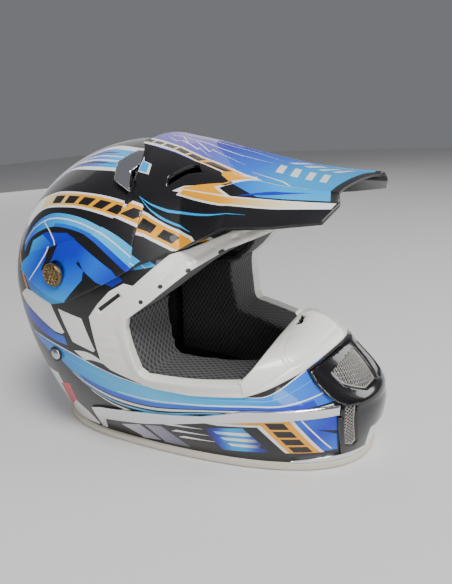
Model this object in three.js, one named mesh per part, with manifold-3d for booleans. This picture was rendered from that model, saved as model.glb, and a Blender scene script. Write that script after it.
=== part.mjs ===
// Off-road motorcycle helmet with an adjustable peak, modelled as the parts it is assembled from.
// Millimetres, +Z up. The helmet faces -Y, the wearer's right side is -X, and x = 0 is its mirror plane.
// The origin is at the middle of its length, on the surface that it stands on.
import * as THREE from 'three';
import { mergeVertices } from 'three/addons/utils/BufferGeometryUtils.js';
import Module from 'manifold-3d';

const wasm = await Module();
wasm.setup();

// ---------------------------------------------------------------- driving dimensions
const SHELL_WIDTH = 254;        // widest, across the temples
const SHELL_HEIGHT = 275;       // crown above the base plane
const SHELL_LENGTH = 350.5;     // chin to back of head
const SHELL_WALL = 3.5;
const BASE_WIDTH = 172;         // shell across its bottom edge
const BASE_TUCK = 16;           // how far the nape tucks in at the bottom
const WIDEST_HEIGHT = 150;      // height of the widest section
const CROWN_SETBACK = 135;      // crown's highest point, behind the forehead
const WIDEST_SETBACK = 7;       // widest section, behind the crown
const CHIN_REACH = 90;          // how far the chin bar stands ahead of the forehead
const CHIN_HEIGHT = 48;         // height of the foremost point of the chin bar
const CHIN_SHARE_AT_BASE = 0.92;// chin reach left at the bottom edge
const BROW_HEIGHT = 165;        // height at which the chin bar has merged into the forehead
const POINT_FROM = 58;          // height at which the chin starts to narrow to a point
const POINT_FULL = 98;          // and where it is fully pointed
const STRAIGHT_BASE = 10;       // height of the upright band at the bottom edge

const GAP = 0.3;                // between pieces that touch
const TRIM_WALL = 1.8;          // thickness of trims, strips and the mouth guard over the shell
const BASE_TRIM_WALL = 2.3;     // each lip of the rubber edge trim
const BASE_TRIM_FLOOR = 3;      // rubber under the shell's edge
const BASE_LIP_HEIGHT = 6.6;    // outer lip of the rubber edge trim
const INNER_LIP_HEIGHT = 8;
const INSIDE_BOTTOM = 8.6;      // lowest foam, clear of the edge trim
const HOUSING_WALL = 4.2;       // chin vent housing over the shell
const MESH_WALL = 1.2;          // woven grille plate

const SHELL_TUCK = { tuck: (SHELL_WIDTH - BASE_WIDTH) / 2, rearTuck: BASE_TUCK };  // towards the base
// Inner face of the foam, in from the shell's outside, with its own lesser narrowing towards the base
const FOAM = { side: 36, front: 24, rear: 27, top: 34, tuck: 11, rearTuck: 10 };
const LINER_WALL = 7;           // crown comfort liner
const CHEEK_WALL = 25;          // cheek pad thickness
const NECK_WALL = 14;           // neck roll thickness
const PORT_ROLL = 7;            // width of the padded roll round the port, over the foam's edge
const CHIN_FOAM_WALL = 16;      // foam behind the chin bar

const PIVOT = { y: 58, z: 177 };// axis of the peak's side screws
const PEAK_WALL = 3;
const ARM_CLEARANCE = 2.8;      // peak arm over the shell
const SCREW_HEAD_RADIUS = 9.8;
const SCREW_HEAD_HEIGHT = 3.4;
const SCREW_SHANK_RADIUS = 2.9;
const BOSS_RADIUS = 9;          // shell boss that the arm turns on
const ARM_SEAT_RADIUS = 11.6;   // flat seat for the screw head on the arm
const INSERT_RADIUS = 8;
const INSERT_SETBACK = 3.4;     // insert's flange behind the shell
const INSERT_LENGTH = 7;

const RIVET = { y: 82, z: 99 }; // strap rivet
const RIVET_RADIUS = 6.8;
const RIVET_SHANK_RADIUS = 2.4;
const STRAP_WIDTH = 20;
const STRAP_THICKNESS = 2;
const RING_WIRE = 3.6;          // D-ring wire diameter

const SIDE_STEPS = 11;          // facets along each side of a horizontal section
const LOW_ROWS = [0, 10, 34, 58, 78, 98, 122, 150];   // section heights below the widest one
const DOME_ROWS = 5;

// ---------------------------------------------------------------- outer surface of the shell
const REAR_Y = (SHELL_LENGTH + HOUSING_WALL + GAP) / 2;
const FOREHEAD_Y = REAR_Y - SHELL_LENGTH + CHIN_REACH;
const CROWN_Y = FOREHEAD_Y + CROWN_SETBACK;
const WIDEST_Y = CROWN_Y + WIDEST_SETBACK;
const PLAN_ROUND = 0.6;         // fullness of the plan's front and sides
const PLAN_ROUND_REAR = 0.65;
const DOME_POWER = 1.93;        // 2 is an ellipse
const CHIN_SIDE_HANDLE = 69;    // straightness of the chin bar's flanks
const CHIN_NOSE_HANDLE = 80;    // bluntness of the chin
const POINT_SIDE = 0.78;        // straightness of the flanks where the chin is pointed
const POINT_NOSE = 8;           // bluntness there

const plus = (a, d) => ({ ...a, side: a.side + d, front: a.front + d, rear: a.rear + d, top: a.top + d });
const OUTSIDE = { side: 0, front: 0, rear: 0, top: 0, ...SHELL_TUCK };
const even = (d) => plus(OUTSIDE, d);
const clamp01 = (t) => Math.min(1, Math.max(0, t));
const smooth = (from, to, v) => {
  const t = clamp01((v - from) / (to - from));
  return t * t * (3 - 2 * t);
};

// One horizontal section of the surface that lies `inset` inside the shell's outside.
function section(z, inset) {
  const height = Math.max(z, STRAIGHT_BASE);
  const rise = clamp01((height - WIDEST_HEIGHT) / (SHELL_HEIGHT - inset.top - WIDEST_HEIGHT));
  const shrink = (1 - rise ** DOME_POWER) ** (1 / DOME_POWER);
  const drop = clamp01((WIDEST_HEIGHT - height) / (WIDEST_HEIGHT - STRAIGHT_BASE)) ** 1.8;
  const low = height <= WIDEST_HEIGHT;
  const half = SHELL_WIDTH / 2 - inset.side;
  const back = REAR_Y - inset.rear;
  const face = FOREHEAD_Y + inset.front;
  const up = clamp01((height - CHIN_HEIGHT) / (BROW_HEIGHT - CHIN_HEIGHT));
  const below = clamp01((CHIN_HEIGHT - height) / (CHIN_HEIGHT - STRAIGHT_BASE));
  const chin = height > CHIN_HEIGHT
    ? (1 - up ** 1.8) ** 1.55
    : 1 - (1 - CHIN_SHARE_AT_BASE) * below ** 1.6;
  return {
    half: low ? half - inset.tuck * drop : half * shrink,
    rear: low ? back - inset.rearTuck * drop : CROWN_Y + (back - CROWN_Y) * shrink,
    front: CROWN_Y + (face - CROWN_Y) * shrink - CHIN_REACH * chin,
    middle: low ? WIDEST_Y : CROWN_Y + (WIDEST_Y - CROWN_Y) * shrink,
    chin,
    point: smooth(POINT_FROM, POINT_FULL, height) * (1 - smooth(BROW_HEIGHT - 45, BROW_HEIGHT, height)),
  };
}

const mix = (a, b, t) => a + (b - a) * t;
const bezier = (t, a, b, c, d) =>
  a * (1 - t) ** 3 + 3 * b * t * (1 - t) ** 2 + 3 * c * t * t * (1 - t) + d * t ** 3;

// Point of a section, on the side x > 0: along = -1 at the chin, 0 at the widest place, 1 at the back.
function sectionPoint(z, along, inset = OUTSIDE) {
  const s = section(z, inset);
  const t = Math.abs(along);
  if (along > 0) {
    const length = s.rear - s.middle;
    return [bezier(t, s.half, s.half, PLAN_ROUND_REAR * s.half, 0),
      bezier(t, s.middle, s.middle + PLAN_ROUND_REAR * length, s.rear, s.rear)];
  }
  const length = s.middle - s.front;
  const shrink = s.half / (s.half + inset.side);
  const roundSide = (1 - s.chin) * PLAN_ROUND * length;
  const side = mix(roundSide + s.chin * CHIN_SIDE_HANDLE, POINT_SIDE * length, s.point);
  const nose = mix((1 - s.chin) * PLAN_ROUND * s.half + s.chin * CHIN_NOSE_HANDLE * shrink,
    POINT_NOSE * shrink,
    s.point);
  return [bezier(t, s.half, s.half, nose, 0), bezier(t, s.middle, s.middle - side, s.front, s.front)];
}

// Half width of the surface at a place in side view.
function halfWidth(y, z, inset = OUTSIDE) {
  let low = -1;
  let high = 1;
  for (let i = 0; i < 40; i += 1) {
    const mid = (low + high) / 2;
    if (sectionPoint(z, mid, inset)[1] < y) low = mid;
    else high = mid;
  }
  return sectionPoint(z, (low + high) / 2, inset)[0];
}

// ---------------------------------------------------------------- solids
function solidOf(geometry) {
  const bare = geometry.index ? geometry.toNonIndexed() : geometry.clone();
  bare.deleteAttribute('normal');
  bare.deleteAttribute('uv');
  const merged = mergeVertices(bare, 1e-4);
  return new wasm.Manifold(new wasm.Mesh({
    numProp: 3,
    vertProperties: new Float32Array(merged.attributes.position.array),
    triVerts: new Uint32Array(merged.index.array),
  }));
}

function geometryOf(solid) {
  const mesh = solid.getMesh();
  const geometry = new THREE.BufferGeometry();
  geometry.setAttribute('position', new THREE.BufferAttribute(new Float32Array(mesh.vertProperties), 3));
  geometry.setIndex(new THREE.BufferAttribute(new Uint32Array(mesh.triVerts), 1));
  geometry.computeVertexNormals();
  return geometry;
}

// Closed body from points and triangles, turned so that its faces point out.
function body(points, triangles) {
  let volume = 0;
  for (const [a, b, c] of triangles) {
    const [p, q, r] = [points[a], points[b], points[c]];
    volume += p[0] * (q[1] * r[2] - q[2] * r[1]) - p[1] * (q[0] * r[2] - q[2] * r[0])
      + p[2] * (q[0] * r[1] - q[1] * r[0]);
  }
  const faces = volume > 0 ? triangles : triangles.map(([a, b, c]) => [a, c, b]);
  const geometry = new THREE.BufferGeometry();
  geometry.setAttribute('position', new THREE.BufferAttribute(new Float32Array(points.flat()), 3));
  geometry.setIndex(faces.flat());
  return solidOf(geometry);
}

// Ring of points round the whole helmet at one height, starting at the chin.
function ring(z, inset) {
  const right = [];
  for (let i = 0; i <= 2 * SIDE_STEPS; i += 1) {
    const [x, y] = sectionPoint(z, i / SIDE_STEPS - 1, inset);
    right.push([-x, y, z]);
  }
  const left = right.slice(1, -1).reverse().map(([x, y]) => [-x, y, z]);
  return [...right, ...left];
}

// Joins rows of rings into faces; rows wrap round when `closed`. The second half of each ring is split
// the other way, so that the left side mirrors the right.
function stitch(rows, closed) {
  const around = rows[0].length;
  const points = rows.flat();
  const triangles = [];
  const last = closed ? rows.length : rows.length - 1;
  for (let r = 0; r < last; r += 1) {
    const next = (r + 1) % rows.length;
    for (let i = 0; i < around; i += 1) {
      const j = (i + 1) % around;
      const [a, b, c, d] = [r * around + i, r * around + j, next * around + j, next * around + i];
      if (i < around / 2) triangles.push([a, b, c], [a, c, d]);
      else triangles.push([a, b, d], [b, c, d]);
    }
  }
  return { points, triangles };
}

// Surface from its lowest ring up to the crown.
function domeSurface(inset, bottom) {
  const rows = [ring(bottom, inset)];
  for (const z of LOW_ROWS.filter((height) => height > bottom)) rows.push(ring(z, inset));
  const rise = SHELL_HEIGHT - inset.top - WIDEST_HEIGHT;
  for (let i = 1; i <= DOME_ROWS; i += 1) {
    rows.push(ring(WIDEST_HEIGHT + rise * Math.sin((i / (DOME_ROWS + 0.5)) * (Math.PI / 2)), inset));
  }
  const mesh = stitch(rows, false);
  const around = rows[0].length;
  const top = (rows.length - 1) * around;
  mesh.points.push([0, CROWN_Y, SHELL_HEIGHT - inset.top]);
  for (let i = 0; i < around; i += 1) {
    mesh.triangles.push([top + i, top + (i + 1) % around, mesh.points.length - 1]);
  }
  return mesh;
}

// The dome between two surfaces, open at the bottom. Both are split along the same diagonals, so
// that neighbouring layers stay parallel.
function layer(outer, inner, bottom = 0) {
  const out = domeSurface(outer, bottom);
  const inn = domeSurface(inner, bottom);
  const count = out.points.length;
  const around = 4 * SIDE_STEPS;
  const shifted = inn.triangles.map(([a, b, c]) => [a + count, c + count, b + count]);
  const triangles = [...out.triangles, ...shifted];
  for (let i = 0; i < around; i += 1) {
    const j = (i + 1) % around;
    triangles.push([i, count + i, count + j], [i, count + j, j]);
  }
  return body([...out.points, ...inn.points], triangles);
}

// Prism over a side-view outline, between two x values.
function sidePrism(outline, from, to) {
  const shape = new THREE.Shape(outline.map(([y, z]) => new THREE.Vector2(y, z)));
  const geometry = new THREE.ExtrudeGeometry(shape, { depth: to - from, bevelEnabled: false });
  // local (x, y, z) becomes (y, z, x)
  geometry.applyMatrix4(new THREE.Matrix4().set(0, 0, 1, from, 1, 0, 0, 0, 0, 1, 0, 0, 0, 0, 0, 1));
  return solidOf(geometry);
}

const ACROSS = 200;             // beyond any piece
const rightPrism = (outline) => sidePrism(outline, -ACROSS, -GAP / 2);
const wholePrism = (outline) => sidePrism(outline, -ACROSS, ACROSS);

// Turned piece on an axis parallel to X through (y, z); profile points are [x, radius].
function turned(profile, y, z, steps = 16) {
  const points = profile.map(([x, radius]) => new THREE.Vector2(radius, x));
  const geometry = new THREE.LatheGeometry(points, steps);
  geometry.applyMatrix4(new THREE.Matrix4().set(0, 1, 0, 0, 1, 0, 0, y, 0, 0, 1, z, 0, 0, 0, 1));
  const bare = geometry.toNonIndexed();
  bare.deleteAttribute('normal');
  bare.deleteAttribute('uv');
  const merged = mergeVertices(bare, 1e-4);
  const position = merged.attributes.position.array;
  const list = [];
  for (let i = 0; i < position.length; i += 3) list.push([position[i], position[i + 1], position[i + 2]]);
  const faces = [];
  const index = merged.index.array;
  for (let i = 0; i < index.length; i += 3) {
    const [a, b, c] = [index[i], index[i + 1], index[i + 2]];
    if (a !== b && b !== c && a !== c) faces.push([a, b, c]);
  }
  return body(list, faces);
}

const rod = (x0, x1, radius, y, z, steps = 14) =>
  turned([[x0, 0], [x0, radius], [x1, radius], [x1, 0]], y, z, steps);

function box(low, high) {
  const size = high.map((v, i) => v - low[i]);
  const geometry = new THREE.BoxGeometry(...size);
  geometry.translate(...low.map((v, i) => v + size[i] / 2));
  return solidOf(geometry);
}

// Flat band swept along a path: each stop is [point, width direction]; both ends are square.
function band(stops, width, thickness) {
  const rows = stops.map(([point, across], i) => {
    const before = stops[Math.max(0, i - 1)][0];
    const after = stops[Math.min(stops.length - 1, i + 1)][0];
    const along = new THREE.Vector3(...after).sub(new THREE.Vector3(...before)).normalize();
    const side = new THREE.Vector3(...across).normalize();
    side.addScaledVector(along, -side.dot(along)).normalize();
    const face = new THREE.Vector3().crossVectors(along, side);
    return [[-1, -1], [1, -1], [1, 1], [-1, 1]].map(([u, v]) => new THREE.Vector3(...point)
      .addScaledVector(side, u * width / 2).addScaledVector(face, v * thickness / 2).toArray());
  });
  const mesh = stitch(rows, false);
  const end = (rows.length - 1) * 4;
  mesh.triangles.push([0, 2, 1], [0, 3, 2], [end, end + 1, end + 2], [end, end + 2, end + 3]);
  return body(mesh.points, mesh.triangles);
}

const mirrored = (solid) => solid.mirror([1, 0, 0]);

// ---------------------------------------------------------------- outlines in side view, [y, z]
// Eye port: the visible edge, and the shell's own edge a lip's width outside it.
const PORT = [[-230, 192], [-73, 192], [-61, 189], [-43, 177], [-19, 156], [-1, 142.5], [1, 133], [0, 120],
  [-4, 95], [-9, 89.5], [-47, 86], [-81, 85], [-103, 89.5], [-124, 98], [-139, 107.5], [-230, 109]];
const PORT_LIP = 3;
// Mouth guard: its edge along the port as [x, y, z] from the middle to its end, and its rim in side view
const GUARD_EDGE = [[0, -101.5, 121], [16, -98.5, 117.6], [38, -95, 111], [60, -91, 102.5], [76, -88, 95.5],
  [86.5, -83.4, 87]];
const GUARD_RIM = [[-145, 104], [-142, 102.8], [-137.5, 99.8], [-131.5, 95.6], [-123, 90], [-107, 82],
  [-95, 77],
  [-83.4, 73.4]];
const GUARD_WALL = 3.4;
// White frame round the eye port
const FRAME = [[-230, 206], [-72, 206], [-52, 198], [-40, 193.2], [-30, 191], [-7, 169], [0, 171], [11, 165],
  [22, 154], [31, 143], [30, 101], [23, 94], [-11, 79], [-42, 74], [-82.6, 73.4], [-82.6, 84], [-76, 92],
  [-76, 150], [-230, 170]];
const HOUSING = [[-123.5, 89.6], [-132, 95], [-138, 99.2], [-143, 102.2], [-147, 103], [-230, 103],
  [-230, 40.4], [-167.4, 32.4], [-163.4, 13.6], [-149.8, 13.2], [-149.6, 52.4], [-151.2, 52.6],
  [-151.2, 63.2],
  [-148, 65], [-140, 70.4], [-130, 80]];
const UPPER_MESH = [[-137.4, 85.5], [-145.5, 95], [-185, 95], [-185, 71], [-166, 69.6], [-163, 68.3],
  [-148, 76]];
const UPPER_MESH_GAP = 3.2;     // half width of the housing's middle bar
const LOWER_MESH = [[-152.6, 61], [-159.5, 60.5], [-159.5, 25], [-157, 21.5], [-152.6, 24]];
const SIDE_STRIP = [[70, 38], [56, 42.5], [5, 48.5], [-47, 53.5], [-81, 61], [-150.6, 62.6], [-150.6, 54],
  [-80, 51], [-45, 45], [12, 32], [60, 24], [66, 9], [73, 9]];
const FRONT_WING = [[-230, 39.6], [-168, 31.6], [-164, 13], [-143, 12.2], [-114, 9.4], [-114, 7.2],
  [-230, 7.2]];
const SCOOP = [[10, 259.5], [25, 262.5], [30.5, 252.5], [26.5, 242], [9.5, 234], [15, 245.5]];
const REAR_VENT = [[20, 198], [24, 224], [40, 230], [52, 204]];   // in rear view, [x, z]
const ARM = [[-5, 181], [10, 172.6], [28, 163], [48, 154.6], [57, 154], [66, 156], [77, 162], [92, 168],
  [104, 174],
  [101, 181], [87, 190.5], [64, 196.5], [37, 203.5], [28, 206.5], [13, 218], [4, 229], [-5, 231]];
const ARM_VENT = [[-22, 239], [-19, 243], [-41, 254], [-46, 248]];
const CHEEK = [[72, 33], [72, 128], [40, 141], [14, 143.4], [-60, 143.4], [-60, 79], [-84, 76], [-84, 33]];
const ROLL_SPLIT = 143.7;       // height at which the brow roll meets the cheek pads

// Moves an outline's points outwards by a distance.
function grown(outline, distance) {
  const area = outline.reduce((sum, [y, z], i) => {
    const [y1, z1] = outline[(i + 1) % outline.length];
    return sum + y * z1 - y1 * z;
  }, 0);
  const turn = area > 0 ? 1 : -1;
  return outline.map(([y, z], i) => {
    const [yb, zb] = outline[(i + outline.length - 1) % outline.length];
    const [ya, za] = outline[(i + 1) % outline.length];
    const normal = (dy, dz) => {
      const length = Math.hypot(dy, dz);
      return [turn * dz / length, -turn * dy / length];
    };
    const [n1, n2] = [normal(y - yb, z - zb), normal(ya - y, za - z)];
    const scale = distance / Math.max(0.35, 1 + n1[0] * n2[0] + n1[1] * n2[1]);
    return [y + (n1[0] + n2[0]) * scale, z + (n1[1] + n2[1]) * scale];
  });
}

// ---------------------------------------------------------------- pieces
const pivotX = halfWidth(PIVOT.y, PIVOT.z);
const seatX = pivotX + ARM_CLEARANCE + PEAK_WALL + 1;       // outer face of the arm's screw seat
const bossX = pivotX + 2;
const rivetX = halfWidth(RIVET.y, RIVET.z);
const plateX = halfWidth(RIVET.y + 11, RIVET.z - 14) - SHELL_WALL - 0.6;   // strap anchor's outer face
const portCut = grown(PORT, PORT_LIP);

const bothSides = (solid) => solid.add(mirrored(solid));
const shellLayer = (outer, inner, bottom) => layer(even(outer), even(inner), bottom);

function outerShell() {
  const boss = bothSides(rod(-bossX, -pivotX + SHELL_WALL / 2, BOSS_RADIUS, PIVOT.y, PIVOT.z));
  const screwHole = bothSides(rod(-ACROSS, -60, SCREW_SHANK_RADIUS + 0.4, PIVOT.y, PIVOT.z));
  const rivetHole = bothSides(rod(-ACROSS, -60, RIVET_SHANK_RADIUS + 0.4, RIVET.y, RIVET.z));
  return shellLayer(0, SHELL_WALL, BASE_TRIM_FLOOR + GAP).add(boss).subtract(wholePrism(portCut))
    .subtract(screwHole).subtract(rivetHole).subtract(meshWindows(-3.5))
    .subtract(rearPrism(grown(REAR_VENT, -4)));
}

// Window behind each upper grille, its edge moved by a distance.
const meshWindows = (distance) =>
  bothSides(sidePrism(grown(UPPER_MESH, distance), -ACROSS, -UPPER_MESH_GAP + distance));

// Prism over a rear-view outline, on both sides of the mirror plane.
function rearPrism(outline) {
  const shape = new THREE.Shape(outline.map(([x, z]) => new THREE.Vector2(x, z)));
  const geometry = new THREE.ExtrudeGeometry(shape, { depth: ACROSS, bevelEnabled: false });
  // local (x, y, z) becomes (x, z, y), from behind the crown backwards
  geometry.applyMatrix4(new THREE.Matrix4().set(1, 0, 0, 0, 0, 0, 1, CROWN_Y + 20, 0, 1, 0, 0, 0, 0, 0, 1));
  const mesh = geometry.toNonIndexed();
  const position = mesh.attributes.position.array;
  for (let i = 0; i < position.length; i += 9) {
    for (let k = 0; k < 3; k += 1) {
      [position[i + k], position[i + 3 + k]] = [position[i + 3 + k], position[i + k]];
    }
  }
  return bothSides(solidOf(mesh));
}

function foamLiner() {
  const chinRegion = wholePrism([[-230, 0], [-61.5, 0], [-61.5, 110], [-230, 150]]);
  const pocketEnd = -pivotX + SHELL_WALL + INSERT_SETBACK + INSERT_LENGTH + GAP;
  const insertPocket = bothSides(rod(-ACROSS, pocketEnd, INSERT_RADIUS + 0.6, PIVOT.y, PIVOT.z));
  const strapSlot = bothSides(box([-rivetX + 2, RIVET.y - 13, -5], [-70, RIVET.y + 13, RIVET.z + 14]));
  return layer(even(SHELL_WALL + GAP), FOAM, INSIDE_BOTTOM)
    .subtract(wholePrism(grown(PORT, PORT_ROLL + 2 * GAP)))
    .subtract(chinRegion).subtract(insertPocket).subtract(strapSlot);
}

function comfortLiner() {
  const region = wholePrism([[-100, 151], [40, 151], [80, 134], [180, 122], [180, 300], [-100, 300]]);
  return layer(plus(FOAM, GAP), plus(FOAM, LINER_WALL), 60).intersect(region)
    .subtract(wholePrism(grown(PORT, PORT_ROLL + GAP)));
}

function chinFoam() {
  const inner = SHELL_WALL + GAP + CHIN_FOAM_WALL;
  const region = wholePrism([[-230, INSIDE_BOTTOM], [-62, INSIDE_BOTTOM], [-62, 73], [-82, 74], [-104, 83],
    [-122, 93], [-139, 104], [-230, 106]]);
  return shellLayer(SHELL_WALL + GAP, inner, INSIDE_BOTTOM).intersect(region).subtract(meshWindows(-3.5));
}

// Padded roll over the foam's edge, between the frame's lip and the inside.
const portRoll = (thickness, region) => layer(even(SHELL_WALL + 2.6), plus(FOAM, thickness), 20)
  .intersect(wholePrism(grown(PORT, PORT_ROLL))).subtract(wholePrism(grown(PORT, 2 * GAP))).intersect(region);

function cheekPad() {
  const top = ROLL_SPLIT - GAP;
  const roll = portRoll(CHEEK_WALL, rightPrism([[-76, 60], [14, 60], [14, top], [-76, top]]));
  return layer(plus(FOAM, 2 * GAP), plus(FOAM, CHEEK_WALL), 20).intersect(rightPrism(CHEEK)).add(roll)
    .subtract(wholePrism(grown(PORT, 2 * GAP))).subtract(shellLayer(-GAP, SHELL_WALL + 2.2, 20));
}

const BROW = [[-230, ROLL_SPLIT], [14, ROLL_SPLIT], [14, 230], [-230, 230]];
const browRoll = () => portRoll(LINER_WALL, wholePrism(BROW));

const neckRoll = () => layer(plus(FOAM, GAP), plus(FOAM, NECK_WALL), 12)
  .intersect(wholePrism([[102, 14], [180, 14], [180, 116], [102, 116]]));

function baseTrim() {
  const edge = [[-BASE_TRIM_WALL - GAP, 0], [SHELL_WALL + BASE_TRIM_WALL + GAP, 0],
    [SHELL_WALL + BASE_TRIM_WALL + GAP, INNER_LIP_HEIGHT], [SHELL_WALL + GAP, INNER_LIP_HEIGHT],
    [SHELL_WALL + GAP, BASE_TRIM_FLOOR], [-GAP, BASE_TRIM_FLOOR], [-GAP, BASE_LIP_HEIGHT],
    [-BASE_TRIM_WALL - GAP, BASE_LIP_HEIGHT]];
  const mesh = stitch(edge.map(([inset, z]) => ring(z, even(inset))), true);
  return body(mesh.points, mesh.triangles);
}

// A cover over the shell and its port edge, reaching `depth` in through the port.
function portCover(wall, depth, outline) {
  const shellRoom = shellLayer(-GAP, depth + 40, 0).subtract(wholePrism(grown(portCut, -GAP)));
  return shellLayer(-GAP - wall, depth, 20).intersect(wholePrism(outline)).subtract(shellRoom);
}

const portFrame = () => portCover(TRIM_WALL, SHELL_WALL + 1.8, FRAME).subtract(wholePrism(PORT));
// Closed panel of one thickness under a grid of points, whose rows run the same way.
function panel(rows, wall) {
  const vector = (point) => new THREE.Vector3(...point);
  const inner = rows.map((row, r) => row.map((point, i) => {
    const across = vector(row[Math.min(row.length - 1, i + 1)]).sub(vector(row[Math.max(0, i - 1)]));
    const along = vector(rows[Math.min(rows.length - 1, r + 1)][i]).sub(vector(rows[Math.max(0, r - 1)][i]));
    return vector(point).addScaledVector(across.cross(along).normalize(), -wall).toArray();
  }));
  const mesh = stitch(rows.map((row, r) => [...row, ...inner[r].reverse()]), false);
  const around = 2 * rows[0].length;
  for (const start of [0, (rows.length - 1) * around]) {
    for (let i = 0; i < rows[0].length - 1; i += 1) {
      const [a, b, c, d] = [start + i, start + i + 1, start + around - 2 - i, start + around - 1 - i];
      if (start === 0) mesh.triangles.push([a, c, b], [a, d, c]);
      else mesh.triangles.push([a, b, c], [a, c, d]);
    }
  }
  return body(mesh.points, mesh.triangles);
}

// The guard's outer surface curls over the chin: each row is a curve from the port's edge to the rim.
const GUARD_STEPS = 9;
const GUARD_CURL = { edge: [0, -5, 6], rim: [0, 8, 17] };   // pull on the middle row's two ends
function guardRow(s) {
  const edgeCurve = new THREE.CatmullRomCurve3(GUARD_EDGE.map((point) => new THREE.Vector3(...point)));
  const rimCurve = new THREE.CatmullRomCurve3(GUARD_RIM.map(([y, z]) => {
    const lifted = even(-GAP - TRIM_WALL - 0.8);
    return new THREE.Vector3(halfWidth(y, z, lifted), Math.max(y, section(z, lifted).front), z);
  }));
  const edge = edgeCurve.getPoint(s);
  const rim = rimCurve.getPoint(s);
  if (s === 0) rim.x = 0;
  const third = rim.clone().sub(edge).divideScalar(3);
  const curl = (pull, sign) => new THREE.Vector3(...pull).multiplyScalar(1 - s)
    .addScaledVector(third, sign * s);
  const curve = new THREE.CubicBezierCurve3(edge, edge.clone().add(curl(GUARD_CURL.edge, 1)),
    rim.clone().add(curl(GUARD_CURL.rim, -1)), rim);
  return curve.getPoints(5).map((point) => point.toArray());
}

function mouthGuard() {
  const half = Array.from({ length: GUARD_STEPS + 1 }, (_, i) => guardRow(i / GUARD_STEPS));
  const right = half.slice(1).reverse().map((row) => row.map(([x, y, z]) => [-x, y, z]));
  const shellRoom = shellLayer(-GAP, 45, 0).subtract(wholePrism(grown(portCut, -GAP)));
  return panel([...right, ...half], GUARD_WALL).subtract(shellRoom)
    .intersect(wholePrism([[-230, 60], [-82.9, 60], [-82.9, 140], [-230, 140]]));
}

const guardSolid = mouthGuard();
const chinHousing = () => shellLayer(-GAP - HOUSING_WALL, -GAP, 7).intersect(wholePrism(HOUSING))
  .subtract(meshWindows(0)).subtract(wholePrism(LOWER_MESH))
  .subtract(guardSolid).subtract(guardSolid.translate([0, 0, -2 * GAP]));

const upperGrille = () => grilleLayer().intersect(meshWindows(-GAP)).intersect(rightPrism(UPPER_MESH));
const lowerGrille = () => grilleLayer().intersect(rightPrism(grown(LOWER_MESH, -GAP)));
const grilleLayer = () => shellLayer(-GAP - 1 - MESH_WALL, -GAP - 1, 7);
const strip = (outline, wall) => shellLayer(-GAP - wall, -GAP, 7).intersect(rightPrism(outline));
const rearVent = () => shellLayer(-GAP - TRIM_WALL, -GAP, 150).intersect(rearPrism(REAR_VENT))
  .intersect(rightPrism([[0, 100], [230, 100], [230, 300], [0, 300]]));

// Peak: sections across it, from its front lip to its rear edge. Each has the places of its lower
// edge, the crease above the wing, the edge of the top panel and the middle, as [x, z].
const PEAK_SECTIONS = [
  { y: -151, lower: [90.5, 221.6], crease: [70, 230.4], edge: [59.7, 236.3], middle: 238.8 },
  { y: -117, lower: [94.5, 217], crease: [77, 232], edge: [61, 240], middle: 243.5 },
  { y: -80, lower: [98, 214.5], crease: [80, 234], edge: [60.5, 247], middle: 252 },
  { y: -37, lower: [90, 194.5], crease: [79, 238], edge: [54, 258.5], middle: 264 },
  { y: -13, lower: [110, 185.5], crease: [85, 236], edge: [48, 266], middle: 271 },
  { y: 9, lower: [121, 173], crease: [89, 235], edge: [44, 271], middle: 276 },
];
const PEAK_OVERHANG = 14;       // of the top panel's rear edge behind the peak's sides
const PEAK_REAR = { edge: [43, 273.5], middle: 279.5 };
const PEAK_TIP_SWEEP = 6;       // how far the crease runs ahead of the rest of the tip
const WING_STEPS = 4;
const FLANK_STEPS = 3;
const PANEL_STEPS = 3;

const mixPoint = (a, b, t) => [mix(a[0], b[0], t), mix(a[1], b[1], t)];

// Half section at a place along the peak, from the lower edge to the middle, as [x, y, z].
function peakSection(k) {
  const last = PEAK_SECTIONS.length - 1;
  const i = Math.min(last - 1, Math.floor(k));
  const t = Math.min(1, k - i);
  const [a, b] = [PEAK_SECTIONS[i], PEAK_SECTIONS[i + 1]];
  const over = Math.max(0, k - last);
  const y = mix(a.y, b.y, t);
  const lower = mixPoint(a.lower, b.lower, t);
  const crease = mixPoint(a.crease, b.crease, t);
  const edge = mixPoint(mixPoint(a.edge, b.edge, t), PEAK_REAR.edge, over);
  const middle = mix(mix(a.middle, b.middle, t), PEAK_REAR.middle, over);
  const clear = ARM_CLEARANCE + PEAK_WALL;
  const points = [];
  const hug = ([x, z]) => {
    const onShell = y > FOREHEAD_Y ? halfWidth(y, Math.min(z, SHELL_HEIGHT - 1)) + clear : 0;
    return [Math.max(x, z < SHELL_HEIGHT - 2 && y > -45 ? onShell : 0), z];
  };
  for (let s = 0; s < WING_STEPS; s += 1) points.push([...hug(mixPoint(lower, crease, s / WING_STEPS)), 0]);
  for (let s = 0; s < FLANK_STEPS; s += 1) {
    const f = s / FLANK_STEPS;
    const [x, z] = hug(mixPoint(crease, edge, f));
    points.push([x, z + 3 * Math.sin(Math.PI * f), f]);
  }
  for (let s = 0; s <= PANEL_STEPS; s += 1) {
    const f = s / PANEL_STEPS;
    points.push([edge[0] * (1 - f), mix(edge[1], middle, 1 - (1 - f) ** 2), 1]);
  }
  const sweep = PEAK_TIP_SWEEP * Math.max(0, 1 - k / 0.5);
  const creaseAt = WING_STEPS;
  return points.map(([x, z, f], i) => {
    const near = Math.max(0, 1 - Math.abs(i - creaseAt) / WING_STEPS);
    return [x, y - sweep * near + over * PEAK_OVERHANG * f ** 3, z];
  });
}

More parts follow.
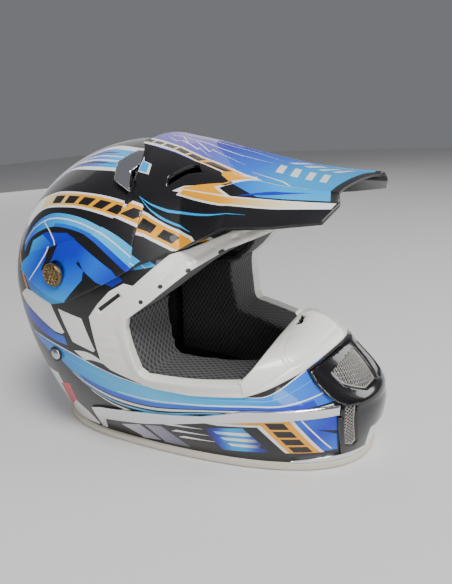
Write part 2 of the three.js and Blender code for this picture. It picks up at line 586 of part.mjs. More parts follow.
function peakShell() {
  const stations = [0, 0.12, 0.5, 1, 2, 2.5, 3, 3.5, 4, 4.5, 5, 5.5, 6];
  const rows = stations.map((k) => {
    const half = peakSection(k);
    const left = half.slice(0, -1).reverse();
    const outer = [...half.map(([x, y, z]) => [-x, y, z]), ...left];
    const inner = outer.map(([x, y, z], i) => {
      const before = outer[Math.max(0, i - 1)];
      const after = outer[Math.min(outer.length - 1, i + 1)];
      const [dx, dz] = [after[0] - before[0], after[2] - before[2]];
      const length = Math.hypot(dx, dz);
      return [x + dz / length * PEAK_WALL, y, z - dx / length * PEAK_WALL];
    });
    return [...outer, ...inner.reverse()];
  });
  const mesh = stitch(rows, false);
  const around = rows[0].length;
  const half = around / 2;
  for (const row of [0, rows.length - 1]) {
    const start = row * around;
    for (let i = 0; i < half - 1; i += 1) {
      const [a, b, c, d] = [start + i, start + i + 1, start + around - 2 - i, start + around - 1 - i];
      if (row === 0) mesh.triangles.push([a, c, b], [a, d, c]);
      else mesh.triangles.push([a, b, c], [a, c, d]);
    }
  }
  return body(mesh.points, mesh.triangles);
}

function peak() {
  const arm = shellLayer(-ARM_CLEARANCE - PEAK_WALL, -ARM_CLEARANCE, 120).intersect(rightPrism(ARM));
  const seat = rod(-seatX, -bossX - GAP, ARM_SEAT_RADIUS, PIVOT.y, PIVOT.z);
  const pocket = rod(-bossX - GAP - 0.2, -60, BOSS_RADIUS + 0.6, PIVOT.y, PIVOT.z);
  const hole = rod(-ACROSS, -60, SCREW_SHANK_RADIUS + 0.5, PIVOT.y, PIVOT.z);
  const room = shellLayer(-ARM_CLEARANCE, 60, 120);
  return peakShell().add(bothSides(arm.add(seat.subtract(room))))
    .subtract(bothSides(pocket)).subtract(bothSides(hole))
    .subtract(wholePrism(ARM_VENT)).subtract(wholePrism(grown(SCOOP, GAP)));
}

const scoop = () => shellLayer(-7, -2.4, 150).intersect(rightPrism(SCOOP));

function sideScrew() {
  const face = -seatX - GAP;
  const head = turned([[face, 0], [face, SCREW_HEAD_RADIUS - 0.6], [face - 1, SCREW_HEAD_RADIUS],
    [face - SCREW_HEAD_HEIGHT + 1, SCREW_HEAD_RADIUS - 0.4], [face - SCREW_HEAD_HEIGHT, 5.5],
    [face - SCREW_HEAD_HEIGHT, 0]], PIVOT.y, PIVOT.z, 20);
  return head.add(rod(face - 1, -pivotX + 12, SCREW_SHANK_RADIUS, PIVOT.y, PIVOT.z));
}

function screwInsert() {
  const back = -pivotX + SHELL_WALL + INSERT_SETBACK;
  const end = back + INSERT_LENGTH;
  return turned([[back, SCREW_SHANK_RADIUS + 0.3], [back, INSERT_RADIUS], [back + 3, INSERT_RADIUS],
    [back + 3, 5], [end, 5], [end, SCREW_SHANK_RADIUS + 0.3], [back, SCREW_SHANK_RADIUS + 0.3]],
  PIVOT.y, PIVOT.z);
}

function strapRivet() {
  const face = -halfWidth(RIVET.y, RIVET.z + RIVET_RADIUS) - GAP;
  const head = turned([[face, 0], [face, RIVET_RADIUS], [face - 1.2, RIVET_RADIUS - 0.4], [face - 2.4, 4],
    [face - 2.8, 0]], RIVET.y, RIVET.z);
  return head.add(rod(face - 0.5, -plateX + 2.6, RIVET_SHANK_RADIUS, RIVET.y, RIVET.z));
}

function anchorPlate() {
  const x = -plateX;
  return box([x, RIVET.y - 11, RIVET.z - 14], [x + 1.6, RIVET.y + 11, RIVET.z + 8])
    .subtract(rod(-ACROSS, -60, RIVET_SHANK_RADIUS + 0.3, RIVET.y, RIVET.z))
    .subtract(box([x - 1, RIVET.y - 8.6, RIVET.z - 11], [x + 3, RIVET.y + 8.6, RIVET.z - 7.4]));
}

// Chin strap, closed: a right half that carries the D-rings, and a left half that passes through them.
const BUCKLE = { x: -46, y: 58, z: 17 };
const ALONG_Y = [0, 1, 0];

// Stops from an anchor plate down the inside of the shell and in under the cheek pad.
function strapSide(sign, endX, endZ) {
  const inside = (z) => Math.min(plateX - 3.4, halfWidth(RIVET.y + STRAP_WIDTH / 2, z) - SHELL_WALL - 2.4);
  const stops = [[inside(RIVET.z), RIVET.y, RIVET.z - 7], [inside(70), RIVET.y, 70],
    [inside(48), RIVET.y, 48],
    [inside(32) - 2, RIVET.y - 1, 34], [inside(24) - 12, RIVET.y - 5, 24.5],
    [inside(20) - 22, RIVET.y - 14, 19.5],
    [Math.abs(endX) + 8, BUCKLE.y, endZ], [Math.abs(endX), BUCKLE.y, endZ]];
  return stops.map(([x, y, z]) => [[sign * x, y, z], ALONG_Y]);
}

function rightStrap() {
  const { x, y, z } = BUCKLE;
  const loop = box([x - 9, y - STRAP_WIDTH / 2, z - 4], [x - 1, y + STRAP_WIDTH / 2, z + 7.4])
    .subtract(box([x - 7.4, y - ACROSS, z - 2.4], [x - 2.6, y + ACROSS, z + 5.8]));
  return band(strapSide(-1, x - 8.4, z - 1), STRAP_WIDTH - 0.6, STRAP_THICKNESS).add(loop)
    .subtract(box([x - 7.4, y - ACROSS, z - 2.4], [x - 2.6, y + ACROSS, z + 5.8]));
}

// D-ring lying level: a straight bar along Y and a rounded bow, of one round wire.
function dRing(z) {
  const { x, y } = BUCKLE;
  const bar = x - 5;
  const half = STRAP_WIDTH / 2 + 3;
  const path = new THREE.CurvePath();
  const corner = (ax, ay) => new THREE.Vector3(ax, ay, z);
  path.add(new THREE.LineCurve3(corner(bar, y - half), corner(bar, y + half)));
  path.add(new THREE.CubicBezierCurve3(corner(bar, y + half), corner(bar + 3, y + half + 2.4),
    corner(bar + 20, y + half), corner(bar + 20, y)));
  path.add(new THREE.CubicBezierCurve3(corner(bar + 20, y), corner(bar + 20, y - half),
    corner(bar + 3, y - half - 2.4), corner(bar, y - half)));
  const points = path.getSpacedPoints(22).slice(0, -1);
  const rows = points.map((p, i) => {
    const before = points[(i + points.length - 1) % points.length];
    const after = points[(i + 1) % points.length];
    const along = after.clone().sub(before).normalize();
    const out = new THREE.Vector3(along.y, -along.x, 0);
    return Array.from({ length: 6 }, (_, k) => {
      const angle = k * Math.PI / 3;
      return [p.x + out.x * Math.cos(angle) * RING_WIRE / 2, p.y + out.y * Math.cos(angle) * RING_WIRE / 2,
        z + Math.sin(angle) * RING_WIRE / 2];
    });
  });
  const mesh = stitch(rows, true);
  return body(mesh.points, mesh.triangles);
}

const LOWER_RING_Z = BUCKLE.z - 0.4;
const UPPER_RING_Z = LOWER_RING_Z + RING_WIRE + 0.5;

function leftStrap() {
  const { x, y } = BUCKLE;
  const under = LOWER_RING_Z - RING_WIRE / 2 - STRAP_THICKNESS / 2 - 0.8;
  const over = UPPER_RING_Z + RING_WIRE / 2 + STRAP_THICKNESS / 2 + 0.8;
  const turn = x + 4;
  const stops = strapSide(1, 36, under).map(([point]) => [point, ALONG_Y]);
  const end = [[[0, y, under], ALONG_Y], [[turn + 5, y, under], ALONG_Y], [[turn + 1, y, under + 1.2],
    ALONG_Y],
    [[turn - 0.6, y, under + 4], ALONG_Y], [[turn - 0.6, y, over - 4], ALONG_Y],
    [[turn + 1, y, over - 1.2], ALONG_Y],
    [[turn + 5, y, over], ALONG_Y], [[x + 24, y, over], ALONG_Y], [[x + 34, y, over - 3], ALONG_Y],
    [[x + 46, y, under + STRAP_THICKNESS + 3.4], ALONG_Y], [[x + 76, y, under + STRAP_THICKNESS + 3.4],
    ALONG_Y]];
  return band([...stops, ...end], STRAP_WIDTH - 0.6, STRAP_THICKNESS);
}

function strapSnap() {
  const { x, y } = BUCKLE;
  const low = LOWER_RING_Z - RING_WIRE / 2 - 0.8 + GAP;
  const height = 3.4 - 2 * GAP;
  const geometry = new THREE.CylinderGeometry(5, 5, height, 16);
  geometry.rotateX(Math.PI / 2);
  geometry.translate(x + 66, y, low + height / 2);
  return solidOf(geometry);
}

function pullTab() {
  const { x, y } = BUCKLE;
  const start = x + 15 + RING_WIRE / 2 + GAP;
  return box([start, y + 11.2, UPPER_RING_Z - 1], [start + 22, y + 21, UPPER_RING_Z + 1]);
}

// ---------------------------------------------------------------- colours
const paint = (color, roughness, metalness = 0) => ({ color, roughness, metalness });
const LOOK = {
  graphics: paint(0x1d6fd0, 0.2),
  foam: paint(0x1c1c1e, 0.9),
  knit: paint(0x1b1a20, 0.85),
  white: paint(0xe6e6e0, 0.35),
  cream: paint(0xcfc7ad, 0.7),
  gloss: paint(0x0b0b0d, 0.15),
  chrome: paint(0xd8dadf, 0.12, 1),
  steel: paint(0x9b9b98, 0.35, 1),
  brass: paint(0x8a7444, 0.35, 1),
  peak: paint(0x2b50c8, 0.2),
  webbing: paint(0x141416, 0.8),
  red: paint(0xb01826, 0.8),
};

const pieces = {
  outer_shell: [outerShell, 'graphics'],
  foam_liner: [foamLiner, 'foam'],
  chin_foam: [chinFoam, 'foam'],
  comfort_liner: [comfortLiner, 'knit'],
  brow_roll: [browRoll, 'knit'],
  neck_roll: [neckRoll, 'knit'],
  base_trim: [baseTrim, 'cream'],
  eye_port_frame: [portFrame, 'white'],
  mouth_guard: [() => guardSolid, 'white'],
  chin_vent_housing: [chinHousing, 'gloss'],
  peak: [peak, 'peak'],
  chin_strap_right: [rightStrap, 'webbing'],
  chin_strap_left: [leftStrap, 'webbing'],
  d_ring_lower: [() => dRing(LOWER_RING_Z), 'steel'],
  d_ring_upper: [() => dRing(UPPER_RING_Z), 'steel'],
  strap_snap: [strapSnap, 'steel'],
  strap_pull_tab: [pullTab, 'red'],
};

const pairs = {
  cheek_pad: [cheekPad, 'knit'],
  upper_vent_mesh: [upperGrille, 'steel'],
  lower_vent_mesh: [lowerGrille, 'steel'],
  side_strip: [() => strip(SIDE_STRIP, TRIM_WALL), 'chrome'],
  front_wing: [() => strip(FRONT_WING, HOUSING_WALL), 'chrome'],
  rear_vent: [rearVent, 'gloss'],
  peak_scoop: [scoop, 'chrome'],
  side_screw: [sideScrew, 'brass'],
  screw_insert: [screwInsert, 'brass'],
  strap_rivet: [strapRivet, 'steel'],
  strap_anchor_plate: [anchorPlate, 'steel'],
};

const helmet = new THREE.Group();

function place(name, solid, look) {
  const mesh = new THREE.Mesh(geometryOf(solid), new THREE.MeshStandardMaterial(LOOK[look]));
  mesh.name = name;
  helmet.add(mesh);
}

for (const [name, [make, look]] of Object.entries(pieces)) place(name, make(), look);
for (const [name, [make, look]] of Object.entries(pairs)) {
  const right = make();
  place(`${name}_right`, right, look);
  place(`${name}_left`, mirrored(right), look);
}

export default helmet;
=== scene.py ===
import math

import bpy
import numpy as np
from mathutils import Matrix, Vector
from mathutils.geometry import delaunay_2d_cdt
from mathutils.kdtree import KDTree


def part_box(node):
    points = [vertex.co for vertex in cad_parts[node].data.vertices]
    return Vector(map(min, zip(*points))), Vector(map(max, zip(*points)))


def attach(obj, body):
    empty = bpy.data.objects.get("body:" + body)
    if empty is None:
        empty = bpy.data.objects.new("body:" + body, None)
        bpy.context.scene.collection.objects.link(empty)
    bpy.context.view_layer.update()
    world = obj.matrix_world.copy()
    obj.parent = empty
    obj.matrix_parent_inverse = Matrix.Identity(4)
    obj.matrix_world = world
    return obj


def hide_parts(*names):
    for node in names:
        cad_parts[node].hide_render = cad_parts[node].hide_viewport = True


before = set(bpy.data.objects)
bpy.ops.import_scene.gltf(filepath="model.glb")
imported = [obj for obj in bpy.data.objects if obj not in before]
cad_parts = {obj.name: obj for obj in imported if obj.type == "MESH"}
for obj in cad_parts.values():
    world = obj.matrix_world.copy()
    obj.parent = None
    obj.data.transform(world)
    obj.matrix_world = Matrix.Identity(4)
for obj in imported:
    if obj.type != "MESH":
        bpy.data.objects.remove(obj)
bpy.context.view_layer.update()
MM = 0.001

# ---------------------------------------------------------------- the shell's surface
HALF, HEIGHT, WIDEST_Z = 127.0, 275.0, 150.0
REAR, FOREHEAD, CROWN, WIDEST = 177.5, -83.0, 52.0, 59.0
CHIN_REACH, CHIN_Z, BROW_Z, BASE_Z = 90.0, 48.0, 165.0, 10.0
SIDE_TUCK, REAR_TUCK = 41.0, 16.0
DOME = 1.93
U_SPAN, V_DOME = 200.0, 190.0       # domain units per quadrant, and from the widest height to the crown


def smooth(a, b, v):
    t = np.clip((v - a) / (b - a), 0, 1)
    return t * t * (3 - 2 * t)


def section(z, d):
    """Half width, rear, front, middle, chin and point share of the level cut at z, d inside the surface."""
    h = np.maximum(z, BASE_Z)
    rise = np.clip((h - WIDEST_Z) / (HEIGHT - d - WIDEST_Z), 0, 1)
    shrink = (1 - rise ** DOME) ** (1 / DOME)
    drop = np.clip((WIDEST_Z - h) / (WIDEST_Z - BASE_Z), 0, 1) ** 1.8
    low = h <= WIDEST_Z
    half, back, face = HALF - d, REAR - d, FOREHEAD + d
    up = np.clip((h - CHIN_Z) / (BROW_Z - CHIN_Z), 0, 1)
    below = np.clip((CHIN_Z - h) / (CHIN_Z - BASE_Z), 0, 1)
    chin = np.where(h > CHIN_Z, (1 - up ** 1.8) ** 1.55, 1 - 0.08 * below ** 1.6)
    point = smooth(58, 98, h) * (1 - smooth(BROW_Z - 45, BROW_Z, h))
    return (np.where(low, half - SIDE_TUCK * drop, half * shrink),
            np.where(low, back - REAR_TUCK * drop, CROWN + (back - CROWN) * shrink),
            CROWN + (face - CROWN) * shrink - CHIN_REACH * chin,
            np.where(low, WIDEST, CROWN + (WIDEST - CROWN) * shrink), chin, point)


def cubic(t, a, b, c, d):
    return a * (1 - t) ** 3 + 3 * b * t * (1 - t) ** 2 + 3 * c * t * t * (1 - t) + d * t ** 3


def level_point(along, z, d):
    """Point of a level cut: along is -1 at the chin, 0 at the widest place, 1 at the back. x >= 0."""
    half, back, front, middle, chin, point = section(z, d)
    t = np.abs(along)
    length = back - middle
    rx, ry = cubic(t, half, half, 0.65 * half, 0), cubic(t, middle, middle + 0.65 * length, back, back)
    length = middle - front
    shrink = half / (half + d)
    side = ((1 - chin) * 0.6 * length + chin * 69) * (1 - point) + point * 0.78 * length
    nose = ((1 - chin) * 0.6 * half + chin * 80 * shrink) * (1 - point) + point * 8 * shrink
    fx, fy = cubic(t, half, half, nose, 0), cubic(t, middle, middle - side, front, front)
    return np.where(along > 0, rx, fx), np.where(along > 0, ry, fy)


def height_of(v, d=0.0):
    turn = np.clip((v - WIDEST_Z) / V_DOME, 0, 1) * math.pi / 2
    return np.where(v <= WIDEST_Z, v, WIDEST_Z + (HEIGHT - WIDEST_Z - d) * np.sin(turn))


def shell_surface(points, lift):
    """Right-hand surface over domain points (u, v), lifted outwards."""
    u, v = points[:, 0], points[:, 1]
    z = height_of(v, -lift)
    x, y = level_point(u / U_SPAN, z, -lift)
    return np.stack([-x, y, z], 1)


def along_of(y, z, d=0.0):
    """How far along its level cut the surface has the side-view place [y, z], found by halving."""
    low, high = -np.ones(len(y)), np.ones(len(y))
    for _ in range(34):
        mid = (low + high) / 2
        under = level_point(mid, z, d)[1] < y
        low, high = np.where(under, mid, low), np.where(under, high, mid)
    return (low + high) / 2


def densify(points, step=2.0, closed=True):
    """The same outline with a point at least every step."""
    out = []
    points = np.array(points, float)
    count = len(points) if closed else len(points) - 1
    for i in range(count):
        a, b = points[i], points[(i + 1) % len(points)]
        n = max(1, int(math.ceil(np.linalg.norm(b - a) / step)))
        out.extend(a + (b - a) * k / n for k in range(n))
    if not closed:
        out.append(points[-1])
    return np.array(out)


def to_shell(points, step=2.0):
    """Domain polygon of a side-view outline [y, z]."""
    p = densify(points, step)
    z = np.clip(p[:, 1], 0.5, HEIGHT - 0.3)
    lift = np.clip((z - WIDEST_Z) / (HEIGHT - WIDEST_Z), 0, 1)
    v = np.where(z <= WIDEST_Z, z, WIDEST_Z + V_DOME * 2 / math.pi * np.arcsin(lift))
    return np.stack([along_of(p[:, 0], z) * U_SPAN, v], 1)


def side_view(points):
    """Side-view place [y, z] of shell domain points."""
    z = height_of(points[:, 1])
    return np.stack([level_point(points[:, 0] / U_SPAN, z, 0.0)[1], z], 1)


# ---------------------------------------------------------------- curves
def spline(points, steps=8):
    """Smooth curve through the points."""
    p = np.array(points, float)
    p = np.vstack([2 * p[0] - p[1], p, 2 * p[-1] - p[-2]])
    out = []
    for i in range(1, len(p) - 2):
        for k in range(steps):
            t = k / steps
            out.append(0.5 * (2 * p[i] + (p[i + 1] - p[i - 1]) * t
                              + (2 * p[i - 1] - 5 * p[i] + 4 * p[i + 1] - p[i + 2]) * t * t
                              + (3 * p[i] - p[i - 1] - 3 * p[i + 1] + p[i + 2]) * t ** 3))
    out.append(p[-2])
    return np.array(out)


def resample(points, count):
    p = np.array(points, float)
    s = np.concatenate([[0], np.cumsum(np.linalg.norm(np.diff(p, axis=0), axis=1))])
    t = np.linspace(0, s[-1], count)
    return np.stack([np.interp(t, s, p[:, k]) for k in range(p.shape[1])], 1)


def between(a, b, f, count=60):
    """Curve a fraction f of the way from curve a to curve b."""
    return resample(a, count) * (1 - f) + resample(b, count) * f


def strip(a, b, f0, f1, t0=0.0, t1=1.0, slant=0.0):
    """Polygon between two curves, from fraction f0 to f1 across and t0 to t1 along."""
    count = 120
    def part(f):
        curve = between(a, b, f, count)
        shift = slant * f
        i0, i1 = (int(round(np.clip(t + shift, 0, 1) * (count - 1))) for t in (t0, t1))
        return curve[i0:i1 + 1]
    return np.vstack([part(f0), part(f1)[::-1]])


def line(points, width, taper=0.0):
    """Polygon of a thin line; taper narrows it to its ends."""
    p = np.array(points, float)
    tangent = np.gradient(p, axis=0)
    tangent /= np.linalg.norm(tangent, axis=1)[:, None] + 1e-9
    normal = np.stack([-tangent[:, 1], tangent[:, 0]], 1)
    t = np.linspace(0, 1, len(p))
    half = width / 2 * (1 - taper * np.abs(2 * t - 1) ** 2)[:, None]
    return np.vstack([p + normal * half, (p - normal * half)[::-1]])


def circle(y, z, radius, count=14):
    a = np.linspace(0, 2 * math.pi, count, endpoint=False)
    return np.stack([y + radius * np.cos(a), z + radius * np.sin(a)], 1)


def inside(polygon, points):
    low, high = polygon.min(0), polygon.max(0)
    near = np.where(((points >= low) & (points <= high)).all(1))[0]
    result = np.zeros(len(near), bool)
    x, y = points[near, 0], points[near, 1]
    for (x0, y0), (x1, y1) in zip(polygon, np.roll(polygon, -1, axis=0)):
        if y0 == y1:
            continue
        result ^= ((y0 > y) != (y1 > y)) & (x < (x1 - x0) * (y - y0) / (y1 - y0) + x0)
    whole = np.zeros(len(points), bool)
    whole[near] = result
    return whole


def distance_to(curve, points):
    best = np.full(len(points), 1e9)
    for a, b in zip(curve[:-1], curve[1:]):
        ab = b - a
        t = np.clip(((points - a) @ ab) / (ab @ ab + 1e-12), 0, 1)
        best = np.minimum(best, np.linalg.norm(points - a - t[:, None] * ab, axis=1))
    return best


# ---------------------------------------------------------------- colours of the paint
BLACK = (0.002, 0.0015, 0.003)
WHITE = (0.84, 0.84, 0.82)
YELLOW = (0.88, 0.37, 0.0)
CREAM = (0.84, 0.70, 0.36)
CYAN = (0.0, 0.36, 0.80)
PALE = (0.08, 0.52, 0.88)
AZURE = (0.0, 0.13, 0.72)
ROYAL = (0.0, 0.018, 0.50)
PURPLE = (0.06, 0.02, 0.42)
RED = (0.70, 0.0, 0.015)


FRAME_WHITE = (0.80, 0.79, 0.73)
# Painted shade: dark grey for the shaded insides of the small holes, painted flat on the port frame.
HOLE_SHADE = (0.03, 0.03, 0.03)


def shade(paint, points):
    """Colours at the points, from one colour or from a paint that depends on the place."""
    return paint(points) if callable(paint) else np.tile(paint, (len(points), 1)).astype(float)


def fade(start, end, *colours):
    """Colours spread along the way from start to end."""
    a, b = np.array(start, float), np.array(end, float)
    stops = np.linspace(0, 1, len(colours))
    def paint(p):
        t = np.clip((p - a) @ (b - a) / ((b - a) @ (b - a)), 0, 1)
        return np.stack([np.interp(t, stops, [c[k] for c in colours]) for k in range(3)], 1)
    return paint


# ---------------------------------------------------------------- patches of surface
def make_object(name, vertices, faces, colours, material, body, node, slot, angle=38):
    """A mesh object that rides a body and stands for a node."""
    mesh = bpy.data.meshes.new(name)
    mesh.from_pydata((vertices * MM).tolist(), [], faces.tolist() if isinstance(faces, np.ndarray) else faces)
    mesh.update()
    if colours is not None:
        layer = mesh.color_attributes.new("paint", "FLOAT_COLOR", "CORNER")
        rgba = np.ones((len(colours), 4), np.float32)
        rgba[:, :3] = colours
        layer.data.foreach_set("color", rgba.ravel())
    mesh.shade_smooth()
    mesh.set_sharp_from_angle(angle=math.radians(angle))
    mesh.materials.append(material)
    piece = bpy.data.objects.new(name, mesh)
    bpy.context.scene.collection.objects.link(piece)
    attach(piece, body)
    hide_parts(node)
    return piece


def triangulate(outer, holes, loops, step, rings=()):
    """Triangles that fill a domain region and follow every loop."""
    points, edges = [], []
    for loop in [outer, *holes, *loops]:
        start = len(points)
        points.extend(loop)
        edges.extend((start + i, start + (i + 1) % len(loop)) for i in range(len(loop)))
    low, high = outer.min(0), outer.max(0)
    gx, gy = np.meshgrid(*(np.arange(low[k] + step / 2, high[k], step) for k in (0, 1)))
    gx = gx + (np.arange(gx.shape[0]) % 2)[:, None] * step / 2
    grid = np.stack([gx.ravel(), gy.ravel()], 1)
    keep = inside(outer, grid)
    for hole in holes:
        keep &= ~inside(hole, grid)
    grid = grid[keep]
    tree = KDTree(len(points))
    for i, p in enumerate(points):
        tree.insert((p[0], p[1], 0), i)
    tree.balance()
    grid = np.array([g for g in grid if tree.find((g[0], g[1], 0))[2] > step * 0.4]).reshape(-1, 2)
    points.extend(grid)
    for ring in rings:
        points.extend(ring)
    result = delaunay_2d_cdt([Vector(p) for p in points], edges, [], 0, 1e-5)
    verts = np.array([tuple(v) for v in result[0]])
    faces = np.array(result[2])
    centre = verts[faces].mean(1)
    keep = inside(outer, centre)
    for hole in holes:
        keep &= ~inside(hole, centre)
    faces = faces[keep]
    a, b, c = (verts[faces[:, k]] for k in range(3))
    area = (b[:, 0] - a[:, 0]) * (c[:, 1] - a[:, 1]) - (b[:, 1] - a[:, 1]) * (c[:, 0] - a[:, 0])
    faces = faces[np.abs(area) > 1e-6]
    area = area[np.abs(area) > 1e-6]
    faces[area < 0] = faces[area < 0][:, ::-1]
    used, faces = np.unique(faces, return_inverse=True)
    return verts[used], faces.reshape(-1, 3)


def inner_ring(loop, distance):
    """Loop moved inwards in the domain."""
    tangent = np.roll(loop, -1, 0) - np.roll(loop, 1, 0)
    tangent /= np.linalg.norm(tangent, axis=1)[:, None] + 1e-9
    normal = np.stack([-tangent[:, 1], tangent[:, 0]], 1)
    x, y = loop[:, 0], loop[:, 1]
    turn = 1 if (x * np.roll(y, -1) - np.roll(x, -1) * y).sum() > 0 else -1
    return loop + normal * turn * distance


def middle_seam(points):
    return np.abs(points[:, 0]) > U_SPAN - 0.05


def no_seam(points):
    return np.zeros(len(points), bool)


def patch(name, surface, outer, holes, material, body, node, slot, step=3.0, top=0.0, bottom=-3.0, edge=0.6,
          layers=(), place=side_view, to_domain=to_shell, seam=middle_seam, relief=None, base=BLACK,
          mirror=True, flip=False, angle=38, deep=None, creases=()):
    """Plate over a domain region: lifted `top` off the surface with rounded edges, down to `bottom`."""
    loops = [np.asarray(to_domain(polygon)) for polygon, _ in layers]
    border = [outer, *holes]
    rings = list(creases)
    if edge:
        for loop in border:
            sign = 1 if loop is outer else -1
            for depth in (0.4, 1.0):
                rings.append(inner_ring(loop, sign * edge * depth))
    verts, faces = triangulate(outer, list(holes), loops, step, rings)
    base_points = surface(verts, 0.0)
    free = [loop[~seam(loop)] for loop in border]
    rims = [surface(loop, 0.0) for loop in free if len(loop)]
    lift = np.full(len(verts), float(top))
    if edge and rims:
        samples = np.vstack(rims)
        tree = KDTree(len(samples))
        for i, p in enumerate(samples):
            tree.insert(p, i)
        tree.balance()
        near = np.array([tree.find(p)[2] for p in base_points])
        t = np.clip(near / edge, 0, 1)
        lift -= edge * (1 - np.sqrt(np.clip(1 - (1 - t) ** 2, 0, 1)))
    flat_place = place(verts)
    if relief is not None:
        lift += relief(flat_place)
    low = np.full(len(verts), float(bottom)) if deep is None else deep(flat_place)
    upper, lower = surface(verts, lift), surface(verts, low)
    count = len(verts)
    centre = flat_place[faces].mean(1)
    owner = np.full(len(faces), -1)
    for i, (polygon, _) in enumerate(layers):
        owner[inside(np.asarray(polygon, float), centre)] = i
    corners = flat_place[faces].reshape(-1, 2)
    colours = shade(base, corners)
    corner_owner = np.repeat(owner, 3)
    for i, (_, paint) in enumerate(layers):
        mask = corner_owner == i
        if mask.any():
            colours[mask] = shade(paint, corners[mask])
    raw = np.vstack([faces[:, [0, 1]], faces[:, [1, 2]], faces[:, [2, 0]]])
    _, index, counts = np.unique(np.sort(raw, 1), axis=0, return_index=True, return_counts=True)
    rim = raw[index[counts == 1]]
    at_seam = seam(verts)
    rim = rim[~(at_seam[rim[:, 0]] & at_seam[rim[:, 1]])]
    walls = np.vstack([np.stack([rim[:, 1], rim[:, 0], rim[:, 0] + count], 1),
                       np.stack([rim[:, 1], rim[:, 0] + count, rim[:, 1] + count], 1)])
    all_faces = np.vstack([faces, faces[:, ::-1] + count, walls])
    edge_colour = shade(base, np.zeros((3 * (len(all_faces) - len(faces)), 2)))
    colours = np.vstack([colours, edge_colour])
    points = np.vstack([upper, lower])
    if flip:
        all_faces = all_faces[:, ::-1]
        colours = colours.reshape(-1, 3, 3)[:, ::-1].reshape(-1, 3)
    if mirror:
        points = np.vstack([points, points * (-1, 1, 1)])
        other = all_faces[:, ::-1] + 2 * count
        colours = np.vstack([colours, colours.reshape(-1, 3, 3)[:, ::-1].reshape(-1, 3)])
        all_faces = np.vstack([all_faces, other])
    keys = np.round(points, 3) + 0.0
    _, first, back = np.unique(keys, axis=0, return_index=True, return_inverse=True)
    points = points[first]
    all_faces = back.reshape(-1)[all_faces]
    good = (all_faces[:, 0] != all_faces[:, 1]) & (all_faces[:, 1] != all_faces[:, 2]) \
        & (all_faces[:, 0] != all_faces[:, 2])
    colours = colours.reshape(-1, 3, 3)[good].reshape(-1, 3)
    return make_object(name, points, all_faces[good], colours, material, body, node, slot, angle)


# ---------------------------------------------------------------- materials
def material(name, colour=(0.5, 0.5, 0.5), roughness=0.5, metallic=0.0, coat=0.0, painted=False, sheen=0.0):
    """A material with its colour, roughness, metal, coat and sheen set, coloured by the paint attribute when
    painted; returns it with its nodes.
    """
    mat = bpy.data.materials.new(name)
    mat.use_nodes = True
    nodes, links = mat.node_tree.nodes, mat.node_tree.links
    shader = nodes["Principled BSDF"]
    shader.inputs["Base Color"].default_value = (*colour, 1)
    shader.inputs["Metallic"].default_value = metallic
    shader.inputs["Roughness"].default_value = roughness
    shader.inputs["Coat Weight"].default_value = coat
    shader.inputs["Coat Roughness"].default_value = 0.04
    shader.inputs["Sheen Weight"].default_value = sheen
    if painted:
        attribute = nodes.new("ShaderNodeAttribute")
        attribute.attribute_name = "paint"
        links.new(attribute.outputs["Color"], shader.inputs["Base Color"])
    return mat, nodes, links, shader


def grain(parts, scale, bump, vary, distance=0.0002, colour=None):
    """Noise that varies the roughness and lifts the surface; with colour, it also varies the colour."""
    mat, nodes, links, shader = parts
    where = nodes.new("ShaderNodeTexCoord")
    noise = nodes.new("ShaderNodeTexNoise")
    noise.inputs["Scale"].default_value = scale
    noise.inputs["Detail"].default_value = 6.0
    links.new(where.outputs["Object"], noise.inputs["Vector"])
    ranged = nodes.new("ShaderNodeMapRange")
    rough = shader.inputs["Roughness"].default_value
    ranged.inputs["To Min"].default_value = max(0.02, rough - vary)
    ranged.inputs["To Max"].default_value = rough + vary
    links.new(noise.outputs["Fac"], ranged.inputs["Value"])
    links.new(ranged.outputs["Result"], shader.inputs["Roughness"])
    lift = nodes.new("ShaderNodeBump")
    lift.inputs["Strength"].default_value = bump
    lift.inputs["Distance"].default_value = distance
    links.new(noise.outputs["Fac"], lift.inputs["Height"])
    links.new(lift.outputs["Normal"], shader.inputs["Normal"])
    if colour is not None:
        mix = nodes.new("ShaderNodeMix")
        mix.data_type = "RGBA"
        mix.inputs["A"].default_value = shader.inputs["Base Color"].default_value
        mix.inputs["B"].default_value = (*colour, 1)
        links.new(noise.outputs["Fac"], mix.inputs["Factor"])
        links.new(mix.outputs["Result"], shader.inputs["Base Color"])
    return mat


